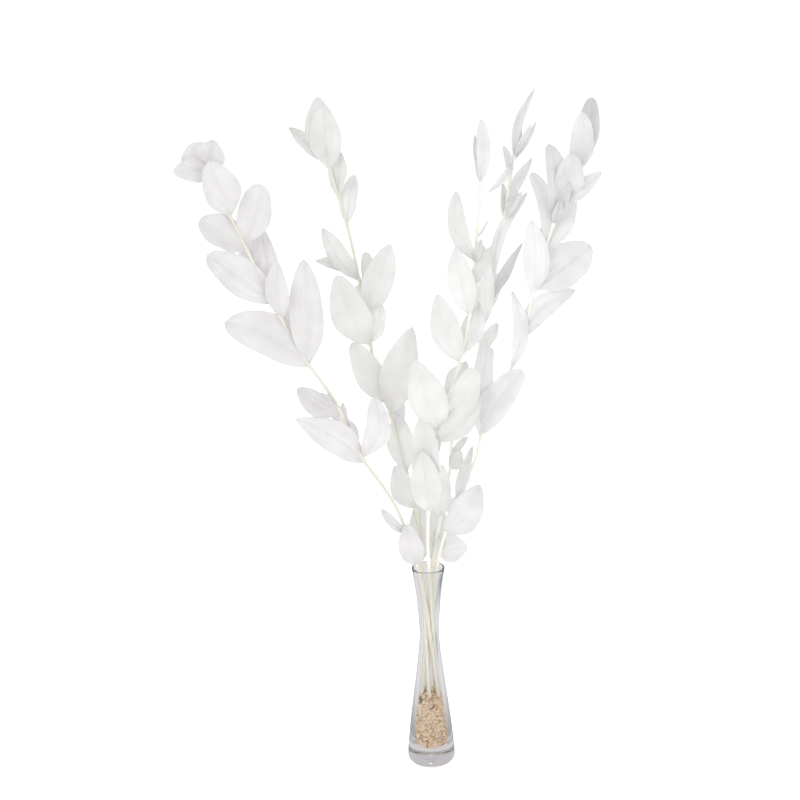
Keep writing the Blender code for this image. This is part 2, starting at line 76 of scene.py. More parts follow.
def smooth_through(points: Sequence[Vector], step: float) -> list[Vector]:
    """Sample a smooth curve through points.

    Args:
        points: The points that the curve passes.
        step: The distance between samples, about.

    Returns:
        The samples, from the first point to the last.
    """
    ends = [points[0] * 2 - points[1], *points, points[-1] * 2 - points[-2]]
    sampled = [points[0].copy()]
    for before, start, end, after in zip(ends, ends[1:], ends[2:], ends[3:]):
        pieces = max(1, round((end - start).length / step))
        for piece in range(1, pieces + 1):
            t = piece / pieces
            leave = (end - before) * 0.5
            arrive = (after - start) * 0.5
            blend = 3 * t * t - 2 * t**3
            bent = leave * (t**3 - 2 * t * t + t) + arrive * (t**3 - t * t)
            sampled.append(start * (1 - blend) + end * blend + bent)
    return sampled


def arc(centre: tuple[float, float], radius: float, start: float, end: float, steps: int) -> Profile:
    """Sample an arc of a turned profile.

    Args:
        centre: Radius and height of the arc's centre.
        radius: The arc's own radius.
        start: First angle in degrees, 0 pointing outwards and 90 up.
        end: Last angle in degrees.
        steps: Number of straight pieces.

    Returns:
        The arc's points as (radius, height).
    """
    angles = [math.radians(start + (end - start) * index / steps) for index in range(steps + 1)]
    return [(centre[0] + radius * math.cos(a), centre[1] + radius * math.sin(a)) for a in angles]


def radius_at(profile: Profile, height: float) -> float:
    """Read the radius of a profile at a height.

    Args:
        profile: Points as (radius, height).
        height: Where to read it.

    Returns:
        The radius, along the profile's straight pieces.
    """
    ordered = sorted(profile, key=lambda point: point[1])
    return float(np.interp(height, [p[1] for p in ordered], [p[0] for p in ordered]))


def seen_point(x: float, z: float, depth: float) -> Vector:
    """Find a real point from where it is seen.

    Args:
        x: Place on the upright plane, in millimetres.
        z: Height on the upright plane, in millimetres.
        depth: How far the point lies behind the plane, in millimetres.

    Returns:
        The point in metres.
    """
    on_plane = Vector((x, 0, z)) * MM
    return EYE + (on_plane - EYE) * (1 + depth * MM / -EYE.y)


@contextmanager
def editing(piece: bpy.types.Object) -> Iterator[None]:
    """Hold one piece in edit mode with nothing selected.

    Args:
        piece: The piece to edit; every other object is deselected.

    Yields:
        Nothing; edit mode ends when the block does.
    """
    pick(piece)
    bpy.ops.object.mode_set(mode="EDIT")
    bpy.ops.mesh.select_mode(type="VERT")
    bpy.ops.mesh.select_all(action="DESELECT")
    try:
        yield
    finally:
        bpy.ops.object.mode_set(mode="OBJECT")


def pick(*pieces: bpy.types.Object) -> None:
    """Select these pieces alone and make the first one active."""
    bpy.ops.object.select_all(action="DESELECT")
    for piece in pieces:
        piece.select_set(True)
    bpy.context.view_layer.objects.active = pieces[0]


def select_where(piece: bpy.types.Object, wanted: Callable[[Vector], bool]) -> None:
    """Select vertices of the piece that is in edit mode by their place.

    Args:
        piece: The piece being edited.
        wanted: Says for a vertex's place whether it is selected.
    """
    shape = bmesh.from_edit_mesh(piece.data)
    for vertex in shape.verts:
        vertex.select = wanted(vertex.co)
    shape.select_flush_mode()
    bmesh.update_edit_mesh(piece.data)


def turn_profile(name: str, profile: Profile, steps: int) -> bpy.types.Object:
    """Spin an open profile, whose ends lie on the axis, into a closed shape.

    Args:
        name: Name of the piece.
        profile: Points as (radius, height).
        steps: Number of steps round the axis.

    Returns:
        The turned piece, with its normals outward.
    """
    bpy.ops.object.select_all(action="DESELECT")
    first = profile[0]
    bpy.ops.mesh.primitive_plane_add(size=0.001, location=(first[0], 0, first[1]))
    piece = bpy.context.active_object
    piece.name = name
    piece.data.name = name
    bpy.ops.object.transform_apply(location=True, rotation=True, scale=True)
    with editing(piece):
        bpy.ops.mesh.select_all(action="SELECT")
        bpy.ops.mesh.merge(type="CENTER")
        for (radius, height), (next_radius, next_height) in zip(profile, profile[1:]):
            step = (next_radius - radius, 0, next_height - height)
            bpy.ops.mesh.extrude_region_move(TRANSFORM_OT_translate={"value": step})
        bpy.ops.mesh.select_all(action="SELECT")
        bpy.ops.mesh.spin(steps=steps, angle=math.tau, center=(0, 0, 0), axis=(0, 0, 1))
        bpy.ops.mesh.select_all(action="SELECT")
        bpy.ops.mesh.remove_doubles(threshold=0.00001)
        bpy.ops.mesh.normals_make_consistent(inside=False)
    return piece


def set_value(piece: bpy.types.Object, name: str, value: float) -> None:
    """Give every vertex of a piece the same value of a named attribute, which its finish reads."""
    layer = piece.data.attributes.new(name, "FLOAT", "POINT")
    layer.data.foreach_set("value", [value] * len(piece.data.vertices))


def join(name: str, parts: list[bpy.types.Object]) -> bpy.types.Object:
    """Join parts into one piece.

    Args:
        name: Name of the joined piece.
        parts: The parts, which are used up.

    Returns:
        The joined piece.
    """
    pick(*parts)
    bpy.ops.object.join()
    joined = bpy.context.active_object
    joined.name = name
    joined.data.name = name
    return joined


def hand_over(piece: bpy.types.Object, look: bpy.types.Material, slot: str, *nodes: str) -> None:
    """Dress a piece, hang it on the body and hide the CAD nodes that it stands for.

    Args:
        piece: The finished piece.
        look: Its material.
        slot: Not used; the material slot that the piece belongs to.
        *nodes: The CAD nodes that it stands for.
    """
    piece.data.materials.clear()
    piece.data.materials.append(look)
    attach(piece, BODY)
    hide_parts(*nodes)
    LOG.info("%s: %d faces", piece.name, len(piece.data.polygons))


# Finishes


class NodeBoard:
    """The node tree of one material, with short calls to add nodes and join them."""

    def __init__(self, name: str) -> None:
        """Start an empty material of this name."""
        self.material = bpy.data.materials.new(name)
        self.material.use_nodes = True
        self.tree = self.material.node_tree
        self.tree.nodes.clear()
        self.output = self.tree.nodes.new("ShaderNodeOutputMaterial")

    def add(self, kind: str, inputs: dict | None = None, **settings: object) -> bpy.types.Node:
        """Add a node.

        Args:
            kind: The node's type without the "ShaderNode" in front.
            inputs: Value or linked socket for inputs, by name or number.
            **settings: The node's own properties.

        Returns:
            The node.
        """
        node = self.tree.nodes.new("ShaderNode" + kind)
        for key, value in settings.items():
            setattr(node, key, value)
        for key, value in (inputs or {}).items():
            if isinstance(value, bpy.types.NodeSocket):
                self.tree.links.new(value, node.inputs[key])
            else:
                node.inputs[key].default_value = value
        return node

    def math(self, operation: str, *values: object, clamp: bool = False) -> bpy.types.NodeSocket:
        """Add a Math node and return its result socket."""
        node = self.add("Math", dict(enumerate(values)), operation=operation, use_clamp=clamp)
        return node.outputs[0]

    def blend(self, share: object, first: object, second: object) -> bpy.types.NodeSocket:
        """Mix two colours by a share and return the colour socket."""
        node = self.add("Mix", data_type="RGBA")
        for key, value in ((0, share), (6, first), (7, second)):
            if isinstance(value, bpy.types.NodeSocket):
                self.tree.links.new(value, node.inputs[key])
            else:
                node.inputs[key].default_value = value
        return node.outputs[2]

    def noise(self, vector: object, scale: float, detail: float = 3.0) -> bpy.types.NodeSocket:
        """Add a Noise texture and return its factor socket."""
        node = self.add("TexNoise", {"Vector": vector, "Scale": scale, "Detail": detail})
        return node.outputs["Fac"]

    def bump(self, height: object, strength: float, distance: float) -> bpy.types.NodeSocket:
        """Add a Bump node over a height socket and return its normal socket."""
        node = self.add("Bump", {"Height": height, "Strength": strength, "Distance": distance})
        return node.outputs["Normal"]

    def ease(self, value: object, start: float, end: float) -> bpy.types.NodeSocket:
        """Rise softly from 0 to 1 while a value goes from start to end."""
        inputs = {0: value, 1: start, 2: end}
        return self.add("MapRange", inputs, interpolation_type="SMOOTHSTEP").outputs[0]

    def finish(self, shader: bpy.types.NodeSocket) -> bpy.types.Material:
        """Join the last shader to the output and return the material."""
        self.tree.links.new(shader, self.output.inputs["Surface"])
        return self.material


@dataclass(frozen=True)
class GlassFinish:
    """Clear soda glass with a breath of lilac."""

    tint: Colour = (0.93, 0.925, 0.93, 1)
    depth_tint: Colour = (0.50, 0.46, 0.49, 1)
    density: float = 3.0
    index: float = 1.46
    waviness: float = 0.04

    def make(self) -> bpy.types.Material:
        """Build the material: smooth glass whose surface is faintly uneven, as pressed glass is."""
        board = NodeBoard("clear_glass")
        place = board.add("TexCoord").outputs["Object"]
        ripple = board.noise(place, 55.0, 1.0)
        glass = board.add("BsdfPrincipled", {
            "Base Color": self.tint, "Roughness": 0.0, "IOR": self.index,
            "Transmission Weight": 1.0, "Normal": board.bump(ripple, self.waviness, 0.002)})
        body = board.add("VolumeAbsorption", {"Color": self.depth_tint, "Density": self.density})
        board.tree.links.new(body.outputs[0], board.output.inputs["Volume"])
        return board.finish(glass.outputs[0])


@dataclass(frozen=True)
class LeafFinish:
    """A bleached leaf: matte, a little see-through, veined along its length, with painted shade on some
    leaves.
    """

    name: str
    light: Colour
    # The deep colour is where the leaf's own mottling and its painted shade both lead.
    deep: Colour
    rib: Colour = (0.90, 0.885, 0.80, 1)
    roughness: float = 0.62
    glow: float = 0.45
    least_blotch: float = 0.40
    blotch_wear: float = 0.50
    own_wear: float = 0.12
    root_wear: float = 0.05
    edge_wear: float = 0.06
    vein_wear: float = 0.18
    rib_root: float = 0.4
    rib_least: float = 0.06
    vein_relief: float = 0.45
    fold_relief: float = 2.2
    rib_relief: float = 0.22
    grain_relief: float = 0.10

    def make(self) -> bpy.types.Material:
        """Build the material from the blade's own UV map: u across the leaf, v root to tip."""
        board = NodeBoard(self.name)
        place = board.add("TexCoord")
        across, along, _ = board.add("SeparateXYZ", {0: place.outputs["UV"]}).outputs
        tone = board.add("Attribute", attribute_name="tone").outputs["Fac"]
        # Painted shade: a leaf's shade value darkens it toward the deep colour; a negative value paints it
        # lighter.
        shade = board.add("Attribute", attribute_name="shade").outputs["Fac"]
        shift = board.add("CombineXYZ", {0: tone, 1: tone, 2: tone}).outputs[0]
        own = board.add("VectorMath", {0: place.outputs["UV"], 1: shift}).outputs[0]
        stretched = board.add("Mapping", {"Vector": own, "Scale": (34.0, 2.2, 9.0)}).outputs[0]
        veins = board.noise(stretched, 1.0, 2.0)
        wide = board.add("Mapping", {"Vector": own, "Scale": (7.0, 1.3, 9.0)}).outputs[0]
        folds = board.noise(wide, 1.0, 1.0)
        blotches = board.noise(place.outputs["Object"], 55.0, 2.5)
        grain = board.noise(place.outputs["Object"], 900.0, 2.0)
        beside = board.math("ABSOLUTE", board.math("SUBTRACT", across, 0.5))
        midrib = board.add("MapRange", {
            0: beside, 1: 0.008, 2: 0.035, 3: 1.0, 4: 0.0}, interpolation_type="SMOOTHSTEP").outputs[0]
        rootward = board.math("POWER", board.math("SUBTRACT", 1.0, along), 3.0)
        edge = board.math("POWER", board.math("MULTIPLY", beside, 2.0), 8.0)
        blotchy = board.math("SUBTRACT", blotches, self.least_blotch)
        veined = board.math("SUBTRACT", veins, 0.5)
        mottle_and_painted_shade = board.math("MULTIPLY", blotchy, self.blotch_wear)
        for mark, wear in ((tone, self.own_wear), (rootward, self.root_wear), (edge, self.edge_wear),
                           (veined, self.vein_wear)):
            mottle_and_painted_shade = board.math("ADD", mottle_and_painted_shade, board.math("MULTIPLY", mark, wear))
        # Here the painted shade is added to the leaf's own mottling.
        mottle_and_painted_shade = board.math("ADD", mottle_and_painted_shade, shade, clamp=True)
        colour = board.blend(mottle_and_painted_shade, self.light, self.deep)
        strength = board.math("ADD", board.math("MULTIPLY", rootward, self.rib_root), self.rib_least)
        colour = board.blend(board.math("MULTIPLY", midrib, strength), colour, self.rib)
        relief = board.math("ADD", board.math("MULTIPLY", veins, self.vein_relief),
                            board.math("MULTIPLY", folds, self.fold_relief))
        relief = board.math("SUBTRACT", relief, board.math("MULTIPLY", midrib, self.rib_relief))
        relief = board.math("ADD", relief, board.math("MULTIPLY", grain, self.grain_relief))
        normal = board.bump(relief, 0.55, 0.0008)
        face = board.add("BsdfPrincipled", {
            "Base Color": colour, "Roughness": self.roughness, "Specular IOR Level": 0.32,
            "Normal": normal})
        through = board.add("BsdfTranslucent", {"Color": colour, "Normal": normal})
        mixed = board.add("MixShader", {0: self.glow, 1: face.outputs[0], 2: through.outputs[0]})
        return board.finish(mixed.outputs[0])


@dataclass(frozen=True)
class StemFinish:
    """A pale preserved stem with fine ridges: duller in the filler, painted paler in the glass, and above
    the mouth its own tint with painted shade.
    """

    name: str
    # Above the mouth: partly the branch's own tint, partly painted shade among the leaves.
    high: Colour
    base: Colour = (0.80, 0.765, 0.66, 1)
    # Painted light: paler inside the glass, where the glass and the leaves keep light from the stem.
    low: Colour = (0.92, 0.90, 0.79, 1)
    streak: Colour = (0.74, 0.71, 0.59, 1)
    low_start: float = 0.07
    low_end: float = 0.15
    high_start: float = 0.185
    high_end: float = 0.222

    def make(self) -> bpy.types.Material:
        """Build the material: ridges run along the stem, colour follows the height."""
        board = NodeBoard(self.name)
        place = board.add("TexCoord").outputs["Object"]
        height = board.add("SeparateXYZ", {0: place}).outputs[2]
        share = board.add("MapRange", {0: height, 1: self.high_start, 2: self.high_end}).outputs[0]
        risen = board.add("MapRange", {0: height, 1: self.low_start, 2: self.low_end}).outputs[0]
        # By height: painted light inside the glass, painted shade above the mouth.
        colour = board.blend(share, board.blend(risen, self.base, self.low), self.high)
        fibres = board.noise(board.add("Mapping", {"Vector": place, "Scale": (1400, 1400, 70)}).outputs[0],
                             1.0, 2.0)
        patches = board.noise(place, 60.0, 2.0)
        shade = board.math("MULTIPLY", board.math("ADD", fibres, patches), 0.22)
        colour = board.blend(shade, colour, self.streak)
        stalk = board.add("BsdfPrincipled", {
            "Base Color": colour, "Roughness": 0.5, "Specular IOR Level": 0.35,
            "Normal": board.bump(fibres, 0.5, 0.0003)})
        return board.finish(stalk.outputs[0])


@dataclass(frozen=True)
class BractFinish:
    """The dry scale on a stem, orange brown at its edges."""

    name: str = "dry_bract"
    light: Colour = (0.72, 0.52, 0.20, 1)
    deep: Colour = (0.42, 0.20, 0.06, 1)

    def make(self) -> bpy.types.Material:
        """Build the material: streaks along the scale, darker towards its root."""
        board = NodeBoard(self.name)
        place = board.add("TexCoord")
        along = board.add("SeparateXYZ", {0: place.outputs["UV"]}).outputs[1]
        streaks = board.noise(board.add("Mapping", {
            "Vector": place.outputs["UV"], "Scale": (12, 1.5, 1)}).outputs[0], 1.0, 2.0)
        share = board.math("SUBTRACT", board.math("ADD", streaks, 0.25),
                           board.math("MULTIPLY", along, 0.5))
        scale = board.add("BsdfPrincipled", {
            "Base Color": board.blend(share, self.light, self.deep), "Roughness": 0.7,
            "Normal": board.bump(streaks, 0.5, 0.0005)})
        return board.finish(scale.outputs[0])


@dataclass(frozen=True)
class ChipFinish:
    """Fine plant shavings: beige and pinkish chips, with a few brown and dark ones."""

    name: str
    # Painted shade: below 1 every colour is darkened, for the shade deep between the chips.
    painted_shade_dimming: float = 1.0

    def make(self) -> bpy.types.Material:
        """Build the material: the tone attribute picks each chip's colour from a ramp."""
        board = NodeBoard(self.name)
        place = board.add("TexCoord").outputs["Object"]
        tone = board.add("Attribute", attribute_name="tone").outputs["Fac"]
        ramp = board.add("ValToRGB", {0: tone})
        stops = ((0.0, (0.95, 0.78, 0.52)), (0.25, (0.97, 0.86, 0.68)), (0.45, (0.93, 0.68, 0.50)),
                 (0.62, (0.98, 0.91, 0.76)), (0.80, (0.88, 0.62, 0.36)), (0.92, (0.66, 0.36, 0.18)),
                 (0.97, (0.28, 0.15, 0.08)), (1.0, (0.09, 0.06, 0.04)))
        ramp.color_ramp.elements.remove(ramp.color_ramp.elements[1])
        for index, (where, colour) in enumerate(stops):
            element = ramp.color_ramp.elements[0] if index == 0 else ramp.color_ramp.elements.new(where)
            element.position = where
            element.color = (*[part * self.painted_shade_dimming for part in colour], 1)
        streaks = board.noise(place, 1600.0, 2.0)
        colour = board.blend(board.math("MULTIPLY", streaks, 0.32), ramp.outputs[0],
                             (0.62 * self.painted_shade_dimming, 0.40 * self.painted_shade_dimming, 0.20 * self.painted_shade_dimming, 1))
        chip = board.add("BsdfPrincipled", {
            "Base Color": colour, "Roughness": 0.85, "Normal": board.bump(streaks, 0.6, 0.0004)})
        return board.finish(chip.outputs[0])


@dataclass(frozen=True)
class FloorFinish:
    """The pale table, which glows as a light table does, but less so through the glass, where it shows a
    painted shadow round the foot and a painted dark band to the right.
    """

    pale: Colour = (0.95, 0.95, 0.95, 1)
    glow: float = 0.42
    # Painted shade and shadow, seen only through or in the glass: lighter right under the foot, darkest
    # round it.
    painted_shade_under_foot: Colour = (0.74, 0.73, 0.74, 1)
    foot_start: float = 0.034
    foot_end: float = 0.068
    painted_shadow_near_foot: Colour = (0.33, 0.32, 0.33, 1)
    near_start: float = 0.03
    near_end: float = 0.20
    through_glass: Colour = (0.80, 0.80, 0.815, 1)
    # A painted dark band to the right, seen only through or in the glass as a painted reflection.
    painted_dark_side: Colour = (0.07, 0.07, 0.08, 1)
    side_band: tuple[float, float, float, float] = (0.12, 0.16, 0.25, 0.29)
    side_start: float = 0.265
    side_end: float = 0.325

    def make(self) -> bpy.types.Material:
        """Build the material."""
        board = NodeBoard("pale_table")
        top = board.add("BsdfPrincipled", {
            "Base Color": self.pale, "Roughness": 0.9, "Specular IOR Level": 0.0,
            "Emission Color": (1, 1, 1, 1), "Emission Strength": self.glow})
        place = board.add("TexCoord").outputs["Object"]
        across = board.add("SeparateXYZ", {0: place}).outputs[0]
        away = board.add("VectorMath", {0: place}, operation="LENGTH").outputs["Value"]
        near = board.ease(away, self.near_start, self.near_end)
        rise = board.ease(across, *self.side_band[:2])
        fall = board.ease(across, *self.side_band[2:])
        far = board.ease(away, self.side_start, self.side_end)
        side = board.math("MULTIPLY", board.math("SUBTRACT", rise, fall), far)
        # Painted shadow round the foot, darkest a little way out from it.
        below = board.ease(away, self.foot_start, self.foot_end)
        shaded = board.blend(below, self.painted_shade_under_foot, self.painted_shadow_near_foot)
        seen = board.blend(near, shaded, self.through_glass)
        # The painted dark band to the right is added; only rays that came through or off the glass see
        # this.
        dimmer = board.add("Emission", {"Color": board.blend(side, seen, self.painted_dark_side)})
        ray = board.add("LightPath").outputs
        path = board.math("ADD", ray["Is Transmission Ray"], ray["Is Glossy Ray"], clamp=True)
        path = board.math("MULTIPLY", path, board.math("LESS_THAN", ray["Diffuse Depth"], 0.5))
        mixed = board.add("MixShader", {0: path, 1: top.outputs[0], 2: dimmer.outputs[0]})
        return board.finish(mixed.outputs[0])


# The vase


@dataclass
class BudVase:
    """The clear bottle: thick foot, narrow waist, flared mouth with a rounded lip."""

    height: float = 200 * MM
    foot_radius: float = 22.9 * MM
    foot_rounding: float = 5 * MM
    lip_rounding: float = 1.1 * MM
    floor_thickness: float = 16 * MM
    corner_rounding: float = 5 * MM
    dimple_radius: float = 4.5 * MM
    dimple_rise: float = 1.0 * MM
    step: float = 4 * MM
    sides: int = 112
    # Heights and radii in millimetres, of the outside above the foot and of the inside downwards
    outside: tuple = ((12, 22.7), (40, 19.8), (66, 16.6), (99, 12.4), (122, 9.9), (137, 9.5),
                      (150, 10.1), (172, 11.9), (190, 14.1), (200, 15.7))
    inside: tuple = ((200, 13.6), (190, 11.7), (172, 9.0), (150, 6.5), (137, 5.6), (122, 6.0),
                     (99, 8.4), (66, 12.3), (40, 15.3), (24, 16.7))

    def wall(self, rows: tuple) -> Profile:
        """Smooth a wall's (height, radius) rows into a profile."""
        points = [Vector((radius, 0, height)) * MM for height, radius in rows]
        return [(point.x, point.z) for point in smooth_through(points, self.step)]

    def hollow(self, inset: float = 0.0) -> Profile:
        """Make the hollow's profile.

        Args:
            inset: How much smaller than the glass to make it.

        Returns:
            The profile from the mouth down to the middle of the floor.
        """
        wall = self.wall(self.inside)
        low_radius = wall[-1][0]
        corner = (low_radius - self.corner_rounding, self.floor_thickness + self.corner_rounding)
        rounded = arc(corner, self.corner_rounding, -20, -90, 7)
        profile = [(radius - inset, height) for radius, height in wall]
        profile += [(radius - inset, height + inset) for radius, height in rounded]
        return profile + [(0.0, self.floor_thickness + inset)]

    def glass_profile(self) -> Profile:
        """Make the whole section of the glass, from the middle of the foot to the hollow's floor."""
        dimple = [(self.dimple_radius * share, self.dimple_rise * (1 - share**2) ** 1.5)
                  for share in (0.0, 0.15, 0.3, 0.45, 0.6, 0.75, 0.88, 1.0)]
        foot_middle = (self.foot_radius - self.foot_rounding, self.foot_rounding)
        foot = arc(foot_middle, self.foot_rounding, -90, 0, 10)
        outer = self.wall(self.outside)
        inner = self.hollow()
        lip_radius = (outer[-1][0] - inner[0][0]) / 2
        lip_middle = ((outer[-1][0] + inner[0][0]) / 2, self.height - self.lip_rounding)
        lip = [(lip_middle[0] + lip_radius * math.cos(a), lip_middle[1] + self.lip_rounding * math.sin(a))
               for a in (math.pi * index / 10 for index in range(11))]
        outer = [point for point in outer if point[1] < self.height - 2 * self.lip_rounding]
        inner = [point for point in inner if point[1] < self.height - 2 * self.lip_rounding]
        return dimple + foot + outer + lip + inner

    def build(self) -> bpy.types.Object:
        """Spin the vase, dress it in glass and let light pass it as glass does.

        Returns:
            The vase.
        """
        vase = turn_profile("vase", self.glass_profile(), self.sides)
        pick(vase)
        bpy.ops.object.shade_smooth()
        hand_over(vase, GlassFinish().make(), "clear_glass", "bottle")
        vase.visible_shadow = False
        return vase


# The filler


class ChipForm(Enum):
    """The kinds of shaving: length, width and thickness in millimetres, and how far they curl."""

    FLAKE = (2.9, 1.9, 0.25, 0.5)
    SLIVER = (3.6, 0.8, 0.30, 0.9)
    CRUMB = (1.8, 1.5, 0.70, 0.2)


@dataclass
class Shavings:
    """The filler: a core painted darker as the shade between the chips, with loose chips pressed against
    the glass and heaped on top.
    """

    vase: BudVase
    gap: float = 0.35 * MM
    edge_height: float = 65.5 * MM
    mound: float = 8 * MM
    core_inset: float = 1.3 * MM
    side_chips: int = 2300
    top_chips: int = 420
    bottom_chips: int = 380
    seed: int = 31
    # Chips set one by one on the front: angle in degrees, height, length, width, tilt and tone
    flecks: tuple = ((-137, 66.5, 4.6, 3.0, -50, 1.0), (-120, 63.0, 3.2, 1.5, 20, 0.93),
                     (-80, 61.0, 7.0, 1.4, 42, 1.0), (-68, 62.0, 4.4, 1.4, -35, 0.92),
                     (-62, 60.0, 3.6, 1.3, -20, 0.91), (-97, 67.5, 3.8, 3.2, 5, 0.93),
                     (-135, 64.5, 2.8, 2.4, 20, 1.0), (-58, 30.0, 3.0, 1.2, 30, 0.91),
                     (-110, 38.0, 2.6, 1.1, -30, 0.93), (-88, 24.0, 2.8, 1.0, 10, 0.92),
                     (-62, 44.0, 2.4, 0.9, 60, 0.95))
    limit_heights: list[float] = field(init=False)
    limit_radii: list[float] = field(init=False)

    def __post_init__(self) -> None:
        """Note how far out a chip may reach at each height of the hollow."""
        limit = sorted(self.vase.hollow(self.gap), key=lambda point: point[1])
        self.limit_heights = [point[1] for point in limit]
        self.limit_radii = [point[0] for point in limit]

    def top_at(self, radius: float, angle: float) -> float:
        """Say how high the heap is at a place, in metres."""
        share = radius / radius_at(self.vase.hollow(self.gap), self.edge_height)
        uneven = 1.8 * MM * math.sin(3 * angle + 1.0) + 1.2 * MM * math.sin(5 * angle + radius * 900)
        return self.edge_height + self.mound * (1 - share * share) + uneven * share

    def build_core(self) -> bpy.types.Object:
        """Turn the core, painted dull as the shade between the chips, that keeps the heap from being seen
        through.

        Returns:
            The core.
        """
        hollow = self.vase.hollow(self.core_inset)
        below = [point for point in hollow if point[1] < self.edge_height]
        edge = radius_at(hollow, self.edge_height)
        top = [(edge * share, self.edge_height + self.mound * (1 - share * share) - 1.5 * MM)
               for share in (0.0, 0.2, 0.4, 0.6, 0.8, 0.95)]
        core = turn_profile("shavings_core", top + below, 48)
        draw = random.Random(self.seed)
        for vertex in core.data.vertices:
            reach = 1 - 0.05 * draw.random()
            vertex.co.x *= reach
            vertex.co.y *= reach
        set_value(core, "tone", 0.1)
        return core

    def chip_pattern(self, form: ChipForm) -> bpy.types.Object:
        """Model one chip: a thin plate, tapered and curled.

        Args:
            form: Which kind of chip.

        Returns:
            The chip at the origin, lying in the XY plane along X.
        """
        length, width, thickness, curl = form.value
        bpy.ops.object.select_all(action="DESELECT")
        bpy.ops.mesh.primitive_grid_add(x_subdivisions=3, y_subdivisions=1, size=1)
        chip = bpy.context.active_object
        chip.name = "chip_" + form.name.lower()
        with editing(chip):
            bpy.ops.mesh.select_all(action="SELECT")
            bpy.ops.transform.resize(value=(length * MM, width * MM, 1), center_override=(0, 0, 0))
            select_where(chip, lambda place: place.x > 0.4 * length * MM)
            bpy.ops.transform.resize(value=(1, 0.45, 1), center_override=(0, 0, 0))
            bpy.ops.transform.translate(value=(0, 0, curl * 0.5 * MM))
            select_where(chip, lambda place: place.x < -0.4 * length * MM)
            bpy.ops.transform.resize(value=(1, 0.7, 1), center_override=(0, 0, 0))
            bpy.ops.transform.translate(value=(0, 0, curl * 0.3 * MM))
        plate = chip.modifiers.new("plate", "SOLIDIFY")
        plate.thickness = thickness * MM
        plate.offset = 0
        pick(chip)
        bpy.ops.object.modifier_apply(modifier=plate.name)
        return chip

    def place_chip(self, pattern: bpy.types.Object, place: Vector, outward: Vector, spin: float,
                   tilt: tuple[float, float], size: Vector, tone: float) -> bpy.types.Object:
        """Copy a chip to its place and press it inside the glass.

        Args:
            pattern: The chip to copy.
            place: Where its middle goes.
            outward: The way its face looks.
            spin: Turn about that way, in radians.
            tilt: Two small turns that make it lie unevenly, in radians.
            size: Stretch along, across and through the chip.
            tone: Its place on the colour ramp.

        Returns:
            The placed chip.
        """
        chip = pattern.copy()
        chip.data = pattern.data.copy()
        lean = outward.to_track_quat("Z", "Y").to_matrix().to_4x4()
        turn = Euler((tilt[0], tilt[1], spin)).to_matrix().to_4x4()
        chip.data.transform(Matrix.Translation(place) @ lean @ turn @ Matrix.Diagonal(size.to_4d()))
        for vertex in chip.data.vertices:
            vertex.co.z = max(vertex.co.z, self.vase.floor_thickness + self.gap)
            allowed = float(np.interp(vertex.co.z, self.limit_heights, self.limit_radii))
            reach = math.hypot(vertex.co.x, vertex.co.y)
            if reach > allowed:
                vertex.co.x *= allowed / reach
                vertex.co.y *= allowed / reach
        set_value(chip, "tone", tone)
        bpy.context.scene.collection.objects.link(chip)
        return chip

    def random_chip(self, draw: random.Random, patterns: list[bpy.types.Object], place: Vector,
                    outward: Vector, unevenness: float) -> bpy.types.Object:
        """Lay one chip, drawn at random, at a place.

        Args:
            draw: Random numbers.
            patterns: One chip of each form.
            place: Where its middle goes.
            outward: The way its face looks.
            unevenness: How far it tilts, in radians.

        Returns:
            The placed chip.
        """
        pattern = draw.choices(patterns, (5, 2, 4))[0]
        size = Vector((draw.uniform(0.6, 1.2), draw.uniform(0.6, 1.25), draw.uniform(0.7, 1.3)))
        tilt = (draw.gauss(0, unevenness), draw.gauss(0, unevenness))
        spin = draw.uniform(0, math.tau)
        tone = draw.random() ** 1.15 * 0.97
        return self.place_chip(pattern, place, outward, spin, tilt, size, tone)

    def build_chips(self) -> bpy.types.Object:
        """Scatter the chips over the side, the top and the bottom of the core.

        Returns:
            All chips as one piece.
        """
        limit = list(zip(self.limit_radii, self.limit_heights))
        floor = self.vase.floor_thickness
        patterns = [self.chip_pattern(form) for form in ChipForm]
        draw = random.Random(self.seed)
        chips = []
        edge = radius_at(limit, self.edge_height)
        for _ in range(self.side_chips):
            height = floor + (self.edge_height - floor) * draw.random() ** 1.15
            angle = draw.uniform(0, math.tau)
            reach = radius_at(limit, height) - draw.uniform(0.3, 1.5) * MM
            outward = Vector((math.cos(angle), math.sin(angle), 0.1))
            place = Vector((reach * math.cos(angle), reach * math.sin(angle), height))
            chips.append(self.random_chip(draw, patterns, place, outward, 0.35))
        for _ in range(self.top_chips):
            angle = draw.uniform(0, math.tau)
            reach = edge * math.sqrt(draw.random()) * 0.97
            height = self.top_at(reach, angle) + draw.uniform(-2.2, 1.4) * MM
            place = Vector((reach * math.cos(angle), reach * math.sin(angle), height))
            chips.append(self.random_chip(draw, patterns, place, Vector((0, 0, 1)), 0.7))
        for _ in range(self.bottom_chips):
            angle = draw.uniform(0, math.tau)
            reach = self.limit_radii[1] * math.sqrt(draw.random())
            height = floor + self.gap + draw.uniform(0.1, 0.9) * MM
            place = Vector((reach * math.cos(angle), reach * math.sin(angle), height))
            chips.append(self.random_chip(draw, patterns, place, Vector((0, 0, -1)), 0.2))
        for degrees, height, length, width, tilt, tone in self.flecks:
            angle = math.radians(degrees)
            reach = radius_at(limit, height * MM) - 0.15 * MM
            outward = Vector((math.cos(angle), math.sin(angle), 0.1))
            place = Vector((reach * math.cos(angle), reach * math.sin(angle), height * MM))
            flake_length, flake_width = ChipForm.FLAKE.value[:2]
            size = Vector((length / flake_length, width / flake_width, 1))
            spin = math.radians(tilt)
            chips.append(self.place_chip(patterns[0], place, outward, spin, (0, 0), size, tone))
        joined = join("shavings_chips", chips)
        for pattern in patterns:
            bpy.data.objects.remove(pattern, do_unlink=True)
        return joined

    def build(self) -> None:
        """Build and dress the core and the chips."""
        core = self.build_core()
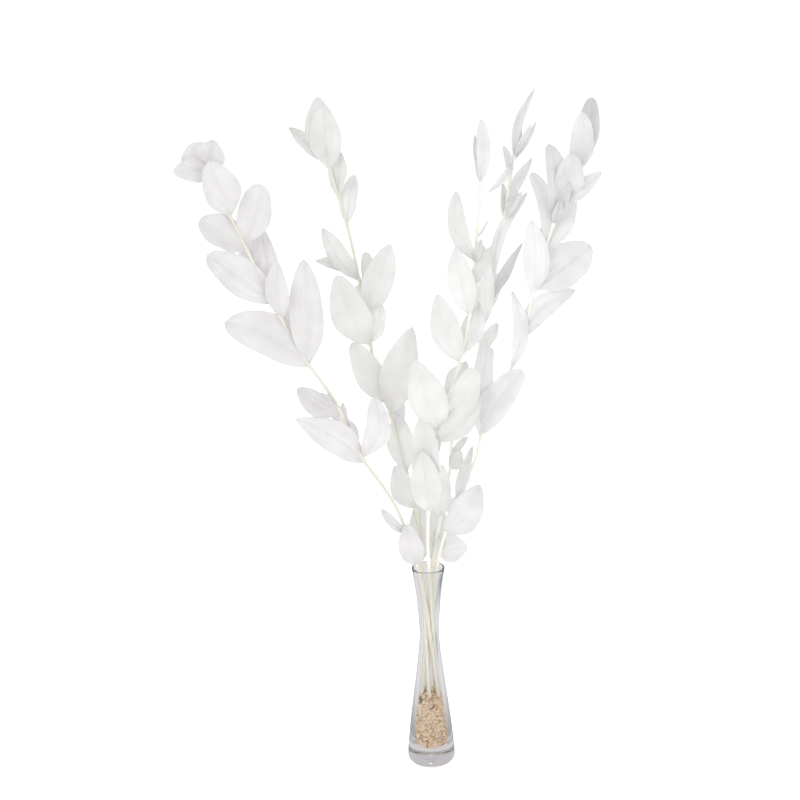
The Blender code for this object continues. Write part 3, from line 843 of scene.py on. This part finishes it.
        # The core is painted darker, as the shade between the chips.
        hand_over(core, ChipFinish("shavings_core", 0.72).make(), "shavings", "filler")
        chips = self.build_chips()
        hand_over(chips, ChipFinish("shavings").make(), "shavings", "filler")


# The branches


class Leaf(NamedTuple):
    """One leaf. Lengths are millimetres on the upright plane, as the eye sees them."""

    root: float
    tip: tuple[float, float]
    toward: float
    width: float
    turn: float = 0.0
    blunt: float = 0.25
    arch: float = 0.07
    sweep: float = 0.0
    # Painted shade on this leaf, toward its tint's deep colour; a negative value paints light.
    shade: float = 0.0


class Tint(Enum):
    """The five shades of bleached leaf: its light and deep colour, and its stem's upper colour."""

    # Each deep colour is also where a leaf's painted shade leads.
    # The stem's upper colour is partly its own tint and partly painted shade among the leaves.
    ROSY = ((0.902, 0.896, 0.894, 1), (0.628, 0.604, 0.612, 1), (0.70, 0.70, 0.63, 1))
    WARM = ((0.918, 0.917, 0.908, 1), (0.625, 0.610, 0.588, 1), (0.67, 0.67, 0.58, 1))
    IVORY = ((0.940, 0.940, 0.932, 1), (0.660, 0.652, 0.636, 1), (0.84, 0.84, 0.78, 1))
    CREAM = ((0.966, 0.967, 0.964, 1), (0.640, 0.640, 0.634, 1), (0.87, 0.87, 0.82, 1))
    GREY = ((0.950, 0.951, 0.951, 1), (0.640, 0.641, 0.641, 1), (0.86, 0.86, 0.80, 1))


@dataclass
class BladePattern:
    """The flat leaf that every leaf is copied from: x runs -1 to 1 across, y 0 to 1 root to tip."""

    columns: int = 12
    rows: int = 30
    crease_pull: float = 0.78

    def build(self) -> bpy.types.Object:
        """Model the pattern from a grid: columns drawn to the midrib, tip closed to a point.

        Returns:
            The pattern, which is removed once all leaves are made.
        """
        bpy.ops.object.select_all(action="DESELECT")
        bpy.ops.mesh.primitive_grid_add(
            x_subdivisions=self.columns, y_subdivisions=self.rows, size=2, calc_uvs=True)
        pattern = bpy.context.active_object
        pattern.name = "leaf_pattern"
        with editing(pattern):
            bpy.ops.mesh.select_all(action="SELECT")
            bpy.ops.transform.translate(value=(0, 1, 0))
            bpy.ops.transform.resize(value=(1, 0.5, 1), center_override=(0, 0, 0))
            for column in range(1, self.columns // 2):
                beside = 2 * column / self.columns
                pull = self.crease_pull + (1 - self.crease_pull) * beside
                select_where(pattern, lambda place, x=beside: abs(abs(place.x) - x) < 0.001)
                bpy.ops.transform.resize(value=(pull, 1, 1), center_override=(0, 0, 0))
            select_where(pattern, lambda place: place.y > 0.999)
            bpy.ops.mesh.merge(type="CENTER")
        return pattern


@dataclass
class LeafyBranch:
    """One branch: its stem, its leaves and what dresses them."""

    name: str
    slot: str
    tint: Tint
    bundle_angle: float
    route: tuple
    leaves: tuple
    bract: int | None = None
    straight_heights: tuple = (27, 60, 95, 130, 160)
    waist_height: float = 137 * MM
    waist_radius: float = 3.5 * MM
    lean: float = 0.105
    radius_low: float = 2.0 * MM
    radius_high: float = 1.3 * MM
    canopy_top: float = 600 * MM
    step: float = 3 * MM
    sides: int = 12
    node_swell: float = 0.30
    node_reach: float = 2.2 * MM
    blade_thickness: float = 0.34 * MM
    petiole_width: float = 2.0 * MM
    widest_low: float = 0.90
    widest_shift: float = 0.12
    fullness: float = 0.88
    tip_roundness: float = 0.42
    edge_lift: float = 0.16
    edge_wave: float = 0.10
    edge_waves: float = 1.5
    crease: float = 0.45 * MM
    ripple: float = 0.55 * MM
    front_limit: float = -49.1 * MM
    top_limit: float = 635.3 * MM

    @property
    def node(self) -> str:
        """Name of the CAD node that this branch stands for."""
        return "leafy_stem_" + self.name

    def in_bundle(self, height: float) -> Vector:
        """Find where the stem's centre passes in the bottle.

        Args:
            height: Height above the floor, in metres.

        Returns:
            The point on a straight line that leans round the bundle's waist.
        """
        angle = math.radians(self.bundle_angle)
        outward = Vector((math.cos(angle), math.sin(angle), 0))
        sideways = Vector((math.sin(angle), -math.cos(angle), 0))
        rise = height - self.waist_height
        return outward * self.waist_radius + sideways * rise * self.lean + Vector((0, 0, height))

    def stem_at(self, leaf_height: float) -> tuple[Vector, float]:
        """Find a leaf's root on the stem.

        Args:
            leaf_height: The height on the upright plane, in millimetres.

        Returns:
            The root, and its depth behind the plane in millimetres.
        """
        for low, high in zip(self.route, self.route[1:]):
            if leaf_height <= high[1]:
                share = (leaf_height - low[1]) / (high[1] - low[1])
                depth = low[2] + (high[2] - low[2]) * share
                return seen_point(low[0] + (high[0] - low[0]) * share, leaf_height, depth), depth
        return seen_point(*self.route[-1]), self.route[-1][2]

    def build_stem(self, draw: random.Random) -> bpy.types.Object:
        """Sweep the stem along its route, thinner upwards and swollen where leaves grow.

        Args:
            draw: Random numbers for its unevenness.

        Returns:
            The stem.
        """
        points = [self.in_bundle(height * MM) for height in self.straight_heights]
        points += [seen_point(*row) for row in self.route]
        centres = smooth_through(points, self.step)
        roots = [self.stem_at(leaf.root)[0] for leaf in self.leaves]
        line = bpy.data.curves.new(self.name + "_stem", "CURVE")
        line.dimensions = "3D"
        line.bevel_depth = 1.0
        line.bevel_resolution = self.sides // 4 - 1
        line.use_fill_caps = True
        spline = line.splines.new("POLY")
        spline.points.add(len(centres) - 1)
        for point, centre in zip(spline.points, centres):
            share = min(1.0, max(0.0, centre.z / self.canopy_top))
            radius = self.radius_low + (self.radius_high - self.radius_low) * share
            nearest = min((centre - root).length for root in roots)
            swell = self.node_swell * math.exp(-((nearest / self.node_reach) ** 2))
            point.co = (*centre, 1)
            point.radius = radius * (1 + swell + draw.uniform(-0.04, 0.04))
        stem = bpy.data.objects.new(self.name + "_stem", line)
        bpy.context.scene.collection.objects.link(stem)
        pick(stem)
        bpy.ops.object.convert(target="MESH")
        stem = bpy.context.active_object
        with editing(stem):
            bpy.ops.mesh.select_all(action="SELECT")
            bpy.ops.mesh.remove_doubles(threshold=0.00001)
            bpy.ops.mesh.normals_make_consistent(inside=False)
        bpy.ops.object.shade_smooth()
        return stem

    def shape_leaf(self, pattern: bpy.types.Object, leaf: Leaf, wave: float,
                   draw: random.Random) -> bpy.types.Object:
        """Copy the pattern and bend it to one leaf.

        Args:
            pattern: The flat leaf.
            leaf: The leaf's row in the branch's table.
            wave: Phase of the waved edge.
            draw: Random numbers for the finer bends.

        Returns:
            The leaf as a thin sheet.
        """
        root, root_depth = self.stem_at(leaf.root)
        tip = seen_point(leaf.tip[0], leaf.tip[1], root_depth - leaf.toward)
        length = (tip - root).length
        along = (tip - root).normalized()
        toward_eye = EYE - (root + tip) / 2
        facing = (toward_eye - along * toward_eye.dot(along)).normalized()
        beside = along.cross(facing)
        turn = math.radians(leaf.turn)
        normal = np.array(facing * math.cos(turn) + beside * math.sin(turn))
        across = np.array(beside * math.cos(turn) - facing * math.sin(turn))

        blade = pattern.copy()
        blade.data = pattern.data.copy()
        flat = np.empty(len(blade.data.vertices) * 3)
        blade.data.vertices.foreach_get("co", flat)
        side, t = flat.reshape(-1, 3)[:, 0], flat.reshape(-1, 3)[:, 1]
        side = np.where(t > 0.999, 0.0, side)
        widest = self.widest_low + self.widest_shift * leaf.blunt
        outline = np.sin(np.pi * np.clip(t, 0, 1) ** widest).clip(0)
        outline = outline ** (self.fullness - self.tip_roundness * leaf.blunt * t)
        nibble = 1 + 0.022 * np.sin(t * draw.uniform(9, 15) + draw.uniform(0, 6) + 2 * np.sign(side))
        half = np.maximum(leaf.width * MM / 2 * outline * nibble,
                          self.petiole_width / 2 * (1 - t / 0.12).clip(0))
        bulge = np.sin(np.pi * t)
        small = min(1.0, leaf.width / 20)
        raised = half * self.edge_lift * np.abs(side)
        raised += half * self.edge_wave * side * np.sin(math.tau * self.edge_waves * t + wave)
        raised -= self.crease * small * np.exp(-((side / 0.10) ** 2)) * bulge
        phase, slant, count = draw.uniform(0, math.tau), draw.uniform(-1.5, 1.5), draw.uniform(1.4, 2.6)
        ripples = np.sin(math.tau * count * t + slant * side + phase)
        raised += self.ripple * small * ripples * bulge * np.abs(side)
        raised += self.ripple * 0.5 * small * np.sin(7 * side + phase) * bulge
        curl_side, curl = draw.choice((-1, 1)), draw.uniform(-0.35, 0.5)
        raised += half * curl * (side * curl_side - 0.55).clip(0) ** 2 * 2
        shift = length * leaf.sweep * bulge + half * side
        lift = length * leaf.arch * bulge + raised
        places = (np.array(root) + np.outer(t * length, np.array(along))
                  + np.outer(shift, across) + np.outer(lift, normal))
        places[:, 1] += max(0.0, self.front_limit - places[:, 1].min())
        places[:, 2] -= max(0.0, places[:, 2].max() - self.top_limit)
        blade.data.vertices.foreach_set("co", places.ravel())
        set_value(blade, "tone", draw.random())
        # The leaf's painted shade, which its finish reads.
        set_value(blade, "shade", leaf.shade)
        bpy.context.scene.collection.objects.link(blade)
        return blade

    def thicken(self, sheet: bpy.types.Object) -> None:
        """Give a sheet its thickness and shade it smooth."""
        plate = sheet.modifiers.new("plate", "SOLIDIFY")
        plate.thickness = self.blade_thickness
        plate.offset = 0
        pick(sheet)
        bpy.ops.object.modifier_apply(modifier=plate.name)
        bpy.ops.object.shade_smooth_by_angle(angle=math.radians(50))

    def build(self, pattern: bpy.types.Object, waves: random.Random, draw: random.Random) -> None:
        """Build and dress the stem, the leaves and the dry bract.

        Args:
            pattern: The flat leaf.
            waves: The edge phases, drawn in the same order as in the CAD.
            draw: Random numbers for everything finer.
        """
        stem = self.build_stem(draw)
        light, deep, high = self.tint.value
        hand_over(stem, StemFinish(self.name + "_stem", high).make(), self.slot, self.node)
        sheets = [self.shape_leaf(pattern, leaf, waves.uniform(0, math.tau), draw)
                  for leaf in self.leaves]
        if self.bract is not None:
            scale = sheets.pop(self.bract)
            scale.name = self.name + "_bract"
            self.thicken(scale)
            hand_over(scale, BractFinish().make(), self.slot, self.node)
        leaves = join(self.name + "_leaves", sheets)
        self.thicken(leaves)
        hand_over(leaves, LeafFinish(self.name + "_leaf", light, deep).make(), self.slot, self.node)


# Routes give x, z and depth behind the upright plane, in millimetres. Leaves give: height of the
# root on the stem, (x, z) of the tip, how far the tip comes toward the eye, width, turn in
# degrees (0 faces the eye), bluntness, arch, sideways sweep and extra painted shade (negative paints
# light).

FAR_LEFT = LeafyBranch(
    "far_left", "foliage_rosy", Tint.ROSY, -90,
    ((-9, 198, -4), (-22, 242, -6), (-31, 264, -8), (-43, 284, -11), (-57, 305, -13),
     (-68, 330, -16), (-83, 365, -19), (-104, 397, -23), (-122, 430, -26), (-143, 477, -29),
     (-163, 522, -31), (-184, 573, -31)),
    (
        Leaf(200, (-19, 244), 9, 24, -6, 0.5, 0.06, -0.03, shade=0.12),
        Leaf(234, (-43, 258), 4, 11, 30, 1.1, 0.07, -0.10),
        Leaf(304, (-119, 348), 16, 29, 2, 0.2, 0.06, 0.06),
        Leaf(306, (-67, 334), 1, 5, 10, 0.1, -0.06),
        Leaf(309, (-45, 366), 7, 24, -8, 1.1, 0.05, 0.15),
        Leaf(330, (-75, 362), -12, 20, -58, shade=-0.06),
        Leaf(350, (-116, 376), -6, 22, 12, 0.8, 0.07, -0.09),
        Leaf(357, (-96, 371), 10, 14, 72),
        Leaf(396, (-178, 439), 14, 40, 15, 1.0, 0.08, 0.08),
        Leaf(398, (-105, 494), 6, 32, -16, 0.6, 0.07, 0.03),
        Leaf(406, (-92, 458), -12, 20, -52, 0.5),
        Leaf(441, (-129, 495), 13, 22, -20, 0.3),
        Leaf(448, (-142, 526), -13, 22, -14, 0.4),
        Leaf(454, (-190, 500), 2, 32, 8, 1.0, 0.06, 0.01),
        Leaf(503, (-196, 529), 10, 32, 26, 1.0, 0.07, 0.02),
        Leaf(507, (-140, 560), -8, 30, -12, 1.1, 0.07, 0.05),
        Leaf(533, (-184, 581), 12, 31, 0, 0.7, 0.07, 0.03),
        Leaf(568, (-215, 573), 12, 21, 12, 0.6, 0.07, 0.08),
        Leaf(571, (-198, 596), -9, 32, 10, 0.5, 0.07, -0.04, shade=-0.04),
        Leaf(571, (-179, 599), -1, 28, -18, 0.2, shade=-0.08),
        Leaf(318, (-84, 350), -38, 20, 20),
        Leaf(420, (-112, 462), -40, 24, -10),
        Leaf(486, (-158, 520), -38, 22, 10),
    ),
    bract=3,
)

LEFT = LeafyBranch(
    "left", "foliage_warm", Tint.WARM, -162,
    ((-6, 198, 6), (-7, 225, 7), (-9, 248, 8), (-12, 265, 9), (-22, 310, 11), (-34, 357, 13),
     (-45, 395, 15), (-51, 440, 17), (-61, 500, 18), (-70, 540, 17), (-84, 588, 14)),
    (
        Leaf(258, (-29, 301), 10, 23, 8, 0.8, 0.07, -0.07),
        Leaf(294, (-25, 351), -8, 25, 0, 0.6, 0.07, -0.03),
        Leaf(350, (-10, 431), 12, 34, -8, 0.4, 0.07, 0.0),
        Leaf(350, (-20, 363), -6, 10, -20, 0.3),
        Leaf(360, (-65, 418), 5, 28, 12, 0.8, 0.07, -0.03),
        Leaf(364, (-49, 409), -11, 18, -42, 0.3),
        Leaf(417, (-37, 453), 5, 18, -28, 0.6, 0.07, 0.08),
        Leaf(415, (-77, 479), 12, 35, 8, 0.7, 0.07, -0.08),
        Leaf(442, (-28, 506), 8, 28, -6, 0.6, 0.07, 0.02),
        Leaf(455, (-50, 499), -14, 16, -30, 1.2, 0.07, 0.15),
        Leaf(474, (-95, 492), 16, 16, 38, 0.3, 0.07, 0.07),
        Leaf(474, (-88, 521), 2, 21, 26, 0.5, 0.07, -0.09, shade=0.04),
        Leaf(522, (-58, 566), -5, 16, -20, 1.1, 0.07, -0.01),
        Leaf(548, (-69, 586), -5, 20, -38, 0.4, 0.07, 0.01, shade=0.05),
        Leaf(572, (-83, 628), 12, 28, -8, 0.35, shade=0.06),
        Leaf(575, (-87, 633), -5, 25, 4, 0.6, 0.07, -0.06),
        Leaf(577, (-113, 608), -16, 14, 12, 0.2, 0.07, 0.01, shade=0.05),
        Leaf(330, (-26, 372), -42, 16, 10),
        Leaf(432, (-58, 470), -40, 22, 15),
        Leaf(450, (-38, 490), -40, 20, -10),
        Leaf(204, (-8, 264), -8, 22, 6, 0.9),
    ),
)

CENTRE = LeafyBranch(
    "centre", "foliage_ivory", Tint.IVORY, -18,
    ((1, 198, -9), (0, 228, -12), (2, 262, -14), (5, 290, -16), (10, 325, -18), (18, 350, -19),
     (25, 375, -20), (33, 400, -20), (40, 432, -20), (45, 465, -19), (47, 495, -17),
     (50, 530, -14), (52, 560, -11)),
    (
        Leaf(254, (-4, 314), 16, 28, 4, 0.7, shade=0.13),
        Leaf(270, (-2, 348), 6, 27, -10, 0.9, shade=0.05),
        Leaf(322, (51, 367), 4, 25, 12, 0.3, 0.07, 0.04, shade=0.14),
        Leaf(333, (-8, 401), 14, 34, -6, 0.3, shade=0.10),
        Leaf(345, (47, 391), 12, 26, -4, 1.2, 0.07, 0.08, shade=0.08),
        Leaf(397, (12, 460), 8, 27, 12, 0.6, 0.07, -0.06, shade=0.10),
        Leaf(404, (50, 452), -8, 22, -26, 0.3, 0.07, 0.09, shade=0.07),
        Leaf(440, (29, 502), 8, 24, -6, 0.4, 0.07, -0.01, shade=-0.05),
        Leaf(466, (63, 502), 4, 16, -38, 0.4, shade=0.04),
        Leaf(486, (53, 508), 8, 9, -20, 0.2, shade=0.28),
        Leaf(488, (30, 550), 3, 17, 12, 0.9, 0.07, -0.13, shade=0.15),
        Leaf(508, (59, 525), 0, 3, 20, 0.1, 0.03),
        Leaf(556, (47, 598), -4, 9, 35, 0.3, 0.07, -0.05, shade=0.15),
        Leaf(556, (53, 611), 5, 12, -8, 1.1, 0.07, 0.05),
        Leaf(300, (6, 338), -24, 18, -15),
        Leaf(440, (40, 478), -30, 18, 20),
        Leaf(360, (38, 398), -30, 20, -20),
    ),
)

SLENDER = LeafyBranch(
    "slender", "foliage_cream", Tint.CREAM, 126,
    ((4, 198, 8), (8, 228, 10), (15, 262, 13), (22, 295, 16), (24, 325, 19), (31, 350, 22),
     (41, 375, 25), (48, 400, 28), (54, 432, 31), (61, 456, 33), (63, 480, 35), (65, 500, 36),
     (72, 525, 37), (76, 550, 37), (81, 581, 36)),
    (
        Leaf(232, (24, 212), 10, 14, 25, 0.3),
        Leaf(248, (15, 301), 5, 22, -10, 0.5),
        Leaf(297, (33, 313), 6, 17, -22, 0.4, 0.07, 0.08, shade=0.15),
        Leaf(306, (39, 327), -4, 9, -30, 0.4, shade=0.10),
        Leaf(410, (67, 432), 5, 16, -30, 0.6, 0.07, 0.12),
        Leaf(428, (54, 503), 4, 16, 20, 0.3),
        Leaf(450, (89, 504), 8, 14, -42, 0.4, 0.07, 0.06, shade=0.30),
        Leaf(464, (93, 548), -4, 12, -24, 0.7, 0.07, -0.08),
        Leaf(524, (71, 557), -6, 8, 30, 0.2, shade=0.22),
        Leaf(525, (88, 548), 6, 10, -25, 0.2, shade=0.10),
        Leaf(530, (97, 577), 2, 11, -22, 0.5, 0.05, -0.02, shade=0.18),
        Leaf(562, (72, 588), 5, 7, 10, 0.9, 0.07, 0.04, shade=0.22),
        Leaf(576, (58, 548), 6, 7, 20, 0.2, 0.07, -0.12),
        Leaf(578, (85, 616), -5, 5, 15, 0.1, 0.07, 0.04, shade=0.42),
        Leaf(579, (99, 636), 4, 8, -15, 0.1, 0.07, -0.06, shade=0.14),
        Leaf(578, (96, 606), 7, 5, -20, 0.1, 0.1, 0.03, shade=0.14),
        Leaf(575, (100, 608), -8, 6, -20, 0.1, 0.07, 0.06),
        Leaf(352, (43, 388), -40, 22, 10),
        Leaf(440, (66, 478), -38, 18, -12),
        Leaf(340, (30, 380), -34, 16, 14),
        Leaf(204, (11, 262), -16, 24, 0, 0.9),
    ),
)

RIGHT = LeafyBranch(
    "right", "foliage_grey", Tint.GREY, 54,
    ((8, 198, -1), (15, 228, -2), (25, 258, -2), (36, 282, -1), (46, 306, 0), (52, 330, 1),
     (62, 358, 2), (77, 385, 2), (84, 410, 0), (94, 440, -3), (100, 468, -6), (108, 496, -9),
     (117, 524, -11), (128, 550, -12), (137, 568, -12)),
    (
        Leaf(211, (38, 219), 12, 27, -12, 0.6, 0.07, -0.08, shade=0.15),
        Leaf(232, (50, 280), 10, 31, -8, 0.7, 0.07, 0.09, shade=0.18),
        Leaf(262, (43, 318), -6, 14, -38, 0.5, 0.07, 0.07, shade=0.07),
        Leaf(328, (89, 389), 10, 28, -10, 1.1, 0.07, -0.05),
        Leaf(324, (57, 412), -8, 21, 10, 1.6, 0.07, -0.05, shade=0.05),
        Leaf(388, (79, 462), 8, 15, 12, 0.5, 0.07, 0.10, shade=0.03),
        Leaf(416, (136, 461), 9, 22, -10, 0.6, 0.07, -0.11, shade=0.04),
        Leaf(456, (96, 524), 8, 23, 10, 0.6, 0.07, 0.04, shade=0.04),
        Leaf(462, (149, 500), -8, 38, -8, 0.9, 0.07, 0.01, shade=0.06),
        Leaf(500, (96, 565), -4, 17, 15, 1.1, 0.07, 0.10, shade=0.05),
        Leaf(494, (134, 544), -12, 27, -14, 0.4, shade=0.04),
        Leaf(518, (111, 589), 6, 20, 8, 1.0, 0.07, 0.09, shade=0.30),
        Leaf(519, (122, 542), 10, 9, 20, 0.3, shade=0.28),
        Leaf(537, (157, 564), 8, 15, -12, 0.4, 0.07, 0.03, shade=0.07),
        Leaf(540, (132, 581), 12, 24, 6, 0.8, 0.07, 0.03, shade=0.13),
        Leaf(562, (140, 615), 4, 21, 8, 0.9, 0.07, 0.04, shade=0.05),
        Leaf(564, (148, 627), -8, 20, -15, 1.1, 0.07, 0.06, shade=0.42),
        Leaf(242, (42, 276), -36, 20, -10),
        Leaf(342, (84, 378), -38, 22, -12),
        Leaf(478, (112, 520), -40, 24, 8),
    ),
)


@dataclass
class Bunch:
    """The five branches, in the order in which the CAD draws their edge phases."""

    branches: tuple = (FAR_LEFT, LEFT, CENTRE, SLENDER, RIGHT)
    wave_seed: int = 7
    detail_seed: int = 19

    def build(self) -> None:
        """Build every branch from one flat leaf."""
        pattern = BladePattern().build()
        waves = random.Random(self.wave_seed)
        draw = random.Random(self.detail_seed)
        for branch in self.branches:
            branch.build(pattern, waves, draw)
        bpy.data.objects.remove(pattern, do_unlink=True)


# The studio


@dataclass(frozen=True)
class Lamp:
    """A soft oblong light. Clear glass shows no image of it, or it makes nothing but that image."""

    name: str
    place: tuple[float, float, float]
    target: tuple[float, float, float]
    width: float
    height: float
    power: float
    spread: float = 180.0
    in_glass_only: bool = False

    def hang(self) -> None:
        """Hang the lamp at its place, turned to its target."""
        lamp = bpy.data.lights.new(self.name, "AREA")
        lamp.shape = "RECTANGLE"
        lamp.size = self.width
        lamp.size_y = self.height
        lamp.energy = self.power
        lamp.spread = math.radians(self.spread)
        light = bpy.data.objects.new(self.name, lamp)
        light.location = self.place
        aim = Vector(self.target) - Vector(self.place)
        light.rotation_euler = aim.to_track_quat("-Z", "Y").to_euler()
        light.visible_transmission = self.in_glass_only
        light.visible_diffuse = not self.in_glass_only
        bpy.context.scene.collection.objects.link(light)


@dataclass
class Studio:
    """Floor, light and camera."""

    pitch: float = 14.619
    roll: float = 1.349
    focal_pixels: float = 1248.81
    picture_pixels: float = 800.0
    sensor: float = 36.0
    floor_radius: float = 5.0
    floor_gap: float = 0.3 * MM
    light_bounces: int = 32
    room: Colour = (1, 1, 1, 1)
    glimpse: Colour = (0.60, 0.59, 0.60, 1)
    backdrop_strength: float = 1.05
    lamps: tuple = (Lamp("key", (-0.9, -1.3, 1.5), (0, 0, 0.35), 1.2, 1.2, 4.0),
                    Lamp("fill", (1.4, -0.9, 0.9), (0, 0, 0.35), 1.2, 1.2, 2.0),
                    Lamp("back", (0.3, 1.4, 1.5), (0, 0, 0.4), 1.4, 1.4, 3.0),
                    Lamp("low", (-0.1, -1.2, 0.30), (0, 0, 0.12), 0.15, 0.15, 0.012, 13),
                    Lamp("glint", (0.06, 1.4, 1.30), (0, 0, 0), 0.08, 0.4, 0.06, in_glass_only=True))

    def build_camera(self) -> None:
        """Set the camera where the photograph was taken from."""
        pitch, roll = math.radians(self.pitch), math.radians(self.roll)
        right = Vector((1, 0, 0))
        up = Vector((0, math.sin(pitch), math.cos(pitch)))
        forward = Vector((0, math.cos(pitch), -math.sin(pitch)))
        columns = Matrix((right * math.cos(roll) - up * math.sin(roll),
                          up * math.cos(roll) + right * math.sin(roll), -forward)).transposed()
        lens = bpy.data.cameras.new("camera")
        lens.sensor_width = self.sensor
        lens.lens = self.focal_pixels * self.sensor / self.picture_pixels
        camera = bpy.data.objects.new("camera", lens)
        camera.matrix_world = Matrix.Translation(EYE) @ columns.to_4x4()
        bpy.context.scene.collection.objects.link(camera)
        bpy.context.scene.camera = camera

    def build_floor(self) -> None:
        """Lay the pale floor."""
        bpy.ops.object.select_all(action="DESELECT")
        bpy.ops.mesh.primitive_circle_add(
            vertices=96, radius=self.floor_radius, fill_type="NGON", location=(0, 0, -self.floor_gap))
        floor = bpy.context.active_object
        floor.name = "floor"
        floor.data.materials.append(FloorFinish().make())

    def build_surroundings(self) -> None:
        """Light the room: a white backdrop for the eye, a dimmer room for looks through glass."""
        world = bpy.data.worlds.new("room")
        bpy.context.scene.world = world
        world.use_nodes = True
        tree = world.node_tree
        tree.nodes.clear()
        path = tree.nodes.new("ShaderNodeLightPath").outputs
        either = tree.nodes.new("ShaderNodeMath")
        either.use_clamp = True
        clear = tree.nodes.new("ShaderNodeMath")
        clear.operation = "LESS_THAN"
        clear.inputs[1].default_value = 0.5
        both = tree.nodes.new("ShaderNodeMath")
        both.operation = "MULTIPLY"
        through = tree.nodes.new("ShaderNodeMixShader")
        choose = tree.nodes.new("ShaderNodeMixShader")
        output = tree.nodes.new("ShaderNodeOutputWorld")
        for colour, strength, socket in ((self.room, 1.0, through.inputs[1]),
                                         (self.glimpse, 1.0, through.inputs[2]),
                                         (self.room, self.backdrop_strength, choose.inputs[2])):
            background = tree.nodes.new("ShaderNodeBackground")
            background.inputs["Color"].default_value = colour
            background.inputs["Strength"].default_value = strength
            tree.links.new(background.outputs[0], socket)
        for source, socket in ((path["Is Transmission Ray"], either.inputs[0]),
                               (path["Is Glossy Ray"], either.inputs[1]),
                               (path["Diffuse Depth"], clear.inputs[0]),
                               (either.outputs[0], both.inputs[0]), (clear.outputs[0], both.inputs[1]),
                               (both.outputs[0], through.inputs[0]),
                               (path["Is Camera Ray"], choose.inputs[0]),
                               (through.outputs[0], choose.inputs[1]),
                               (choose.outputs[0], output.inputs["Surface"])):
            tree.links.new(source, socket)

    def build(self) -> None:
        """Build the whole studio."""
        bpy.context.scene.view_settings.view_transform = "Standard"
        cycles = bpy.context.scene.cycles
        cycles.max_bounces = self.light_bounces
        cycles.glossy_bounces = self.light_bounces
        cycles.transmission_bounces = self.light_bounces
        self.build_camera()
        self.build_floor()
        for lamp in self.lamps:
            lamp.hang()
        self.build_surroundings()


def main() -> None:
    """Load the frame and dress it."""
    logging.basicConfig(level=logging.INFO, format="%(message)s")
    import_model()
    Studio().build()
    vase = BudVase()
    vase.build()
    Shavings(vase).build()
    Bunch().build()


if __name__ == "__main__":
    main()
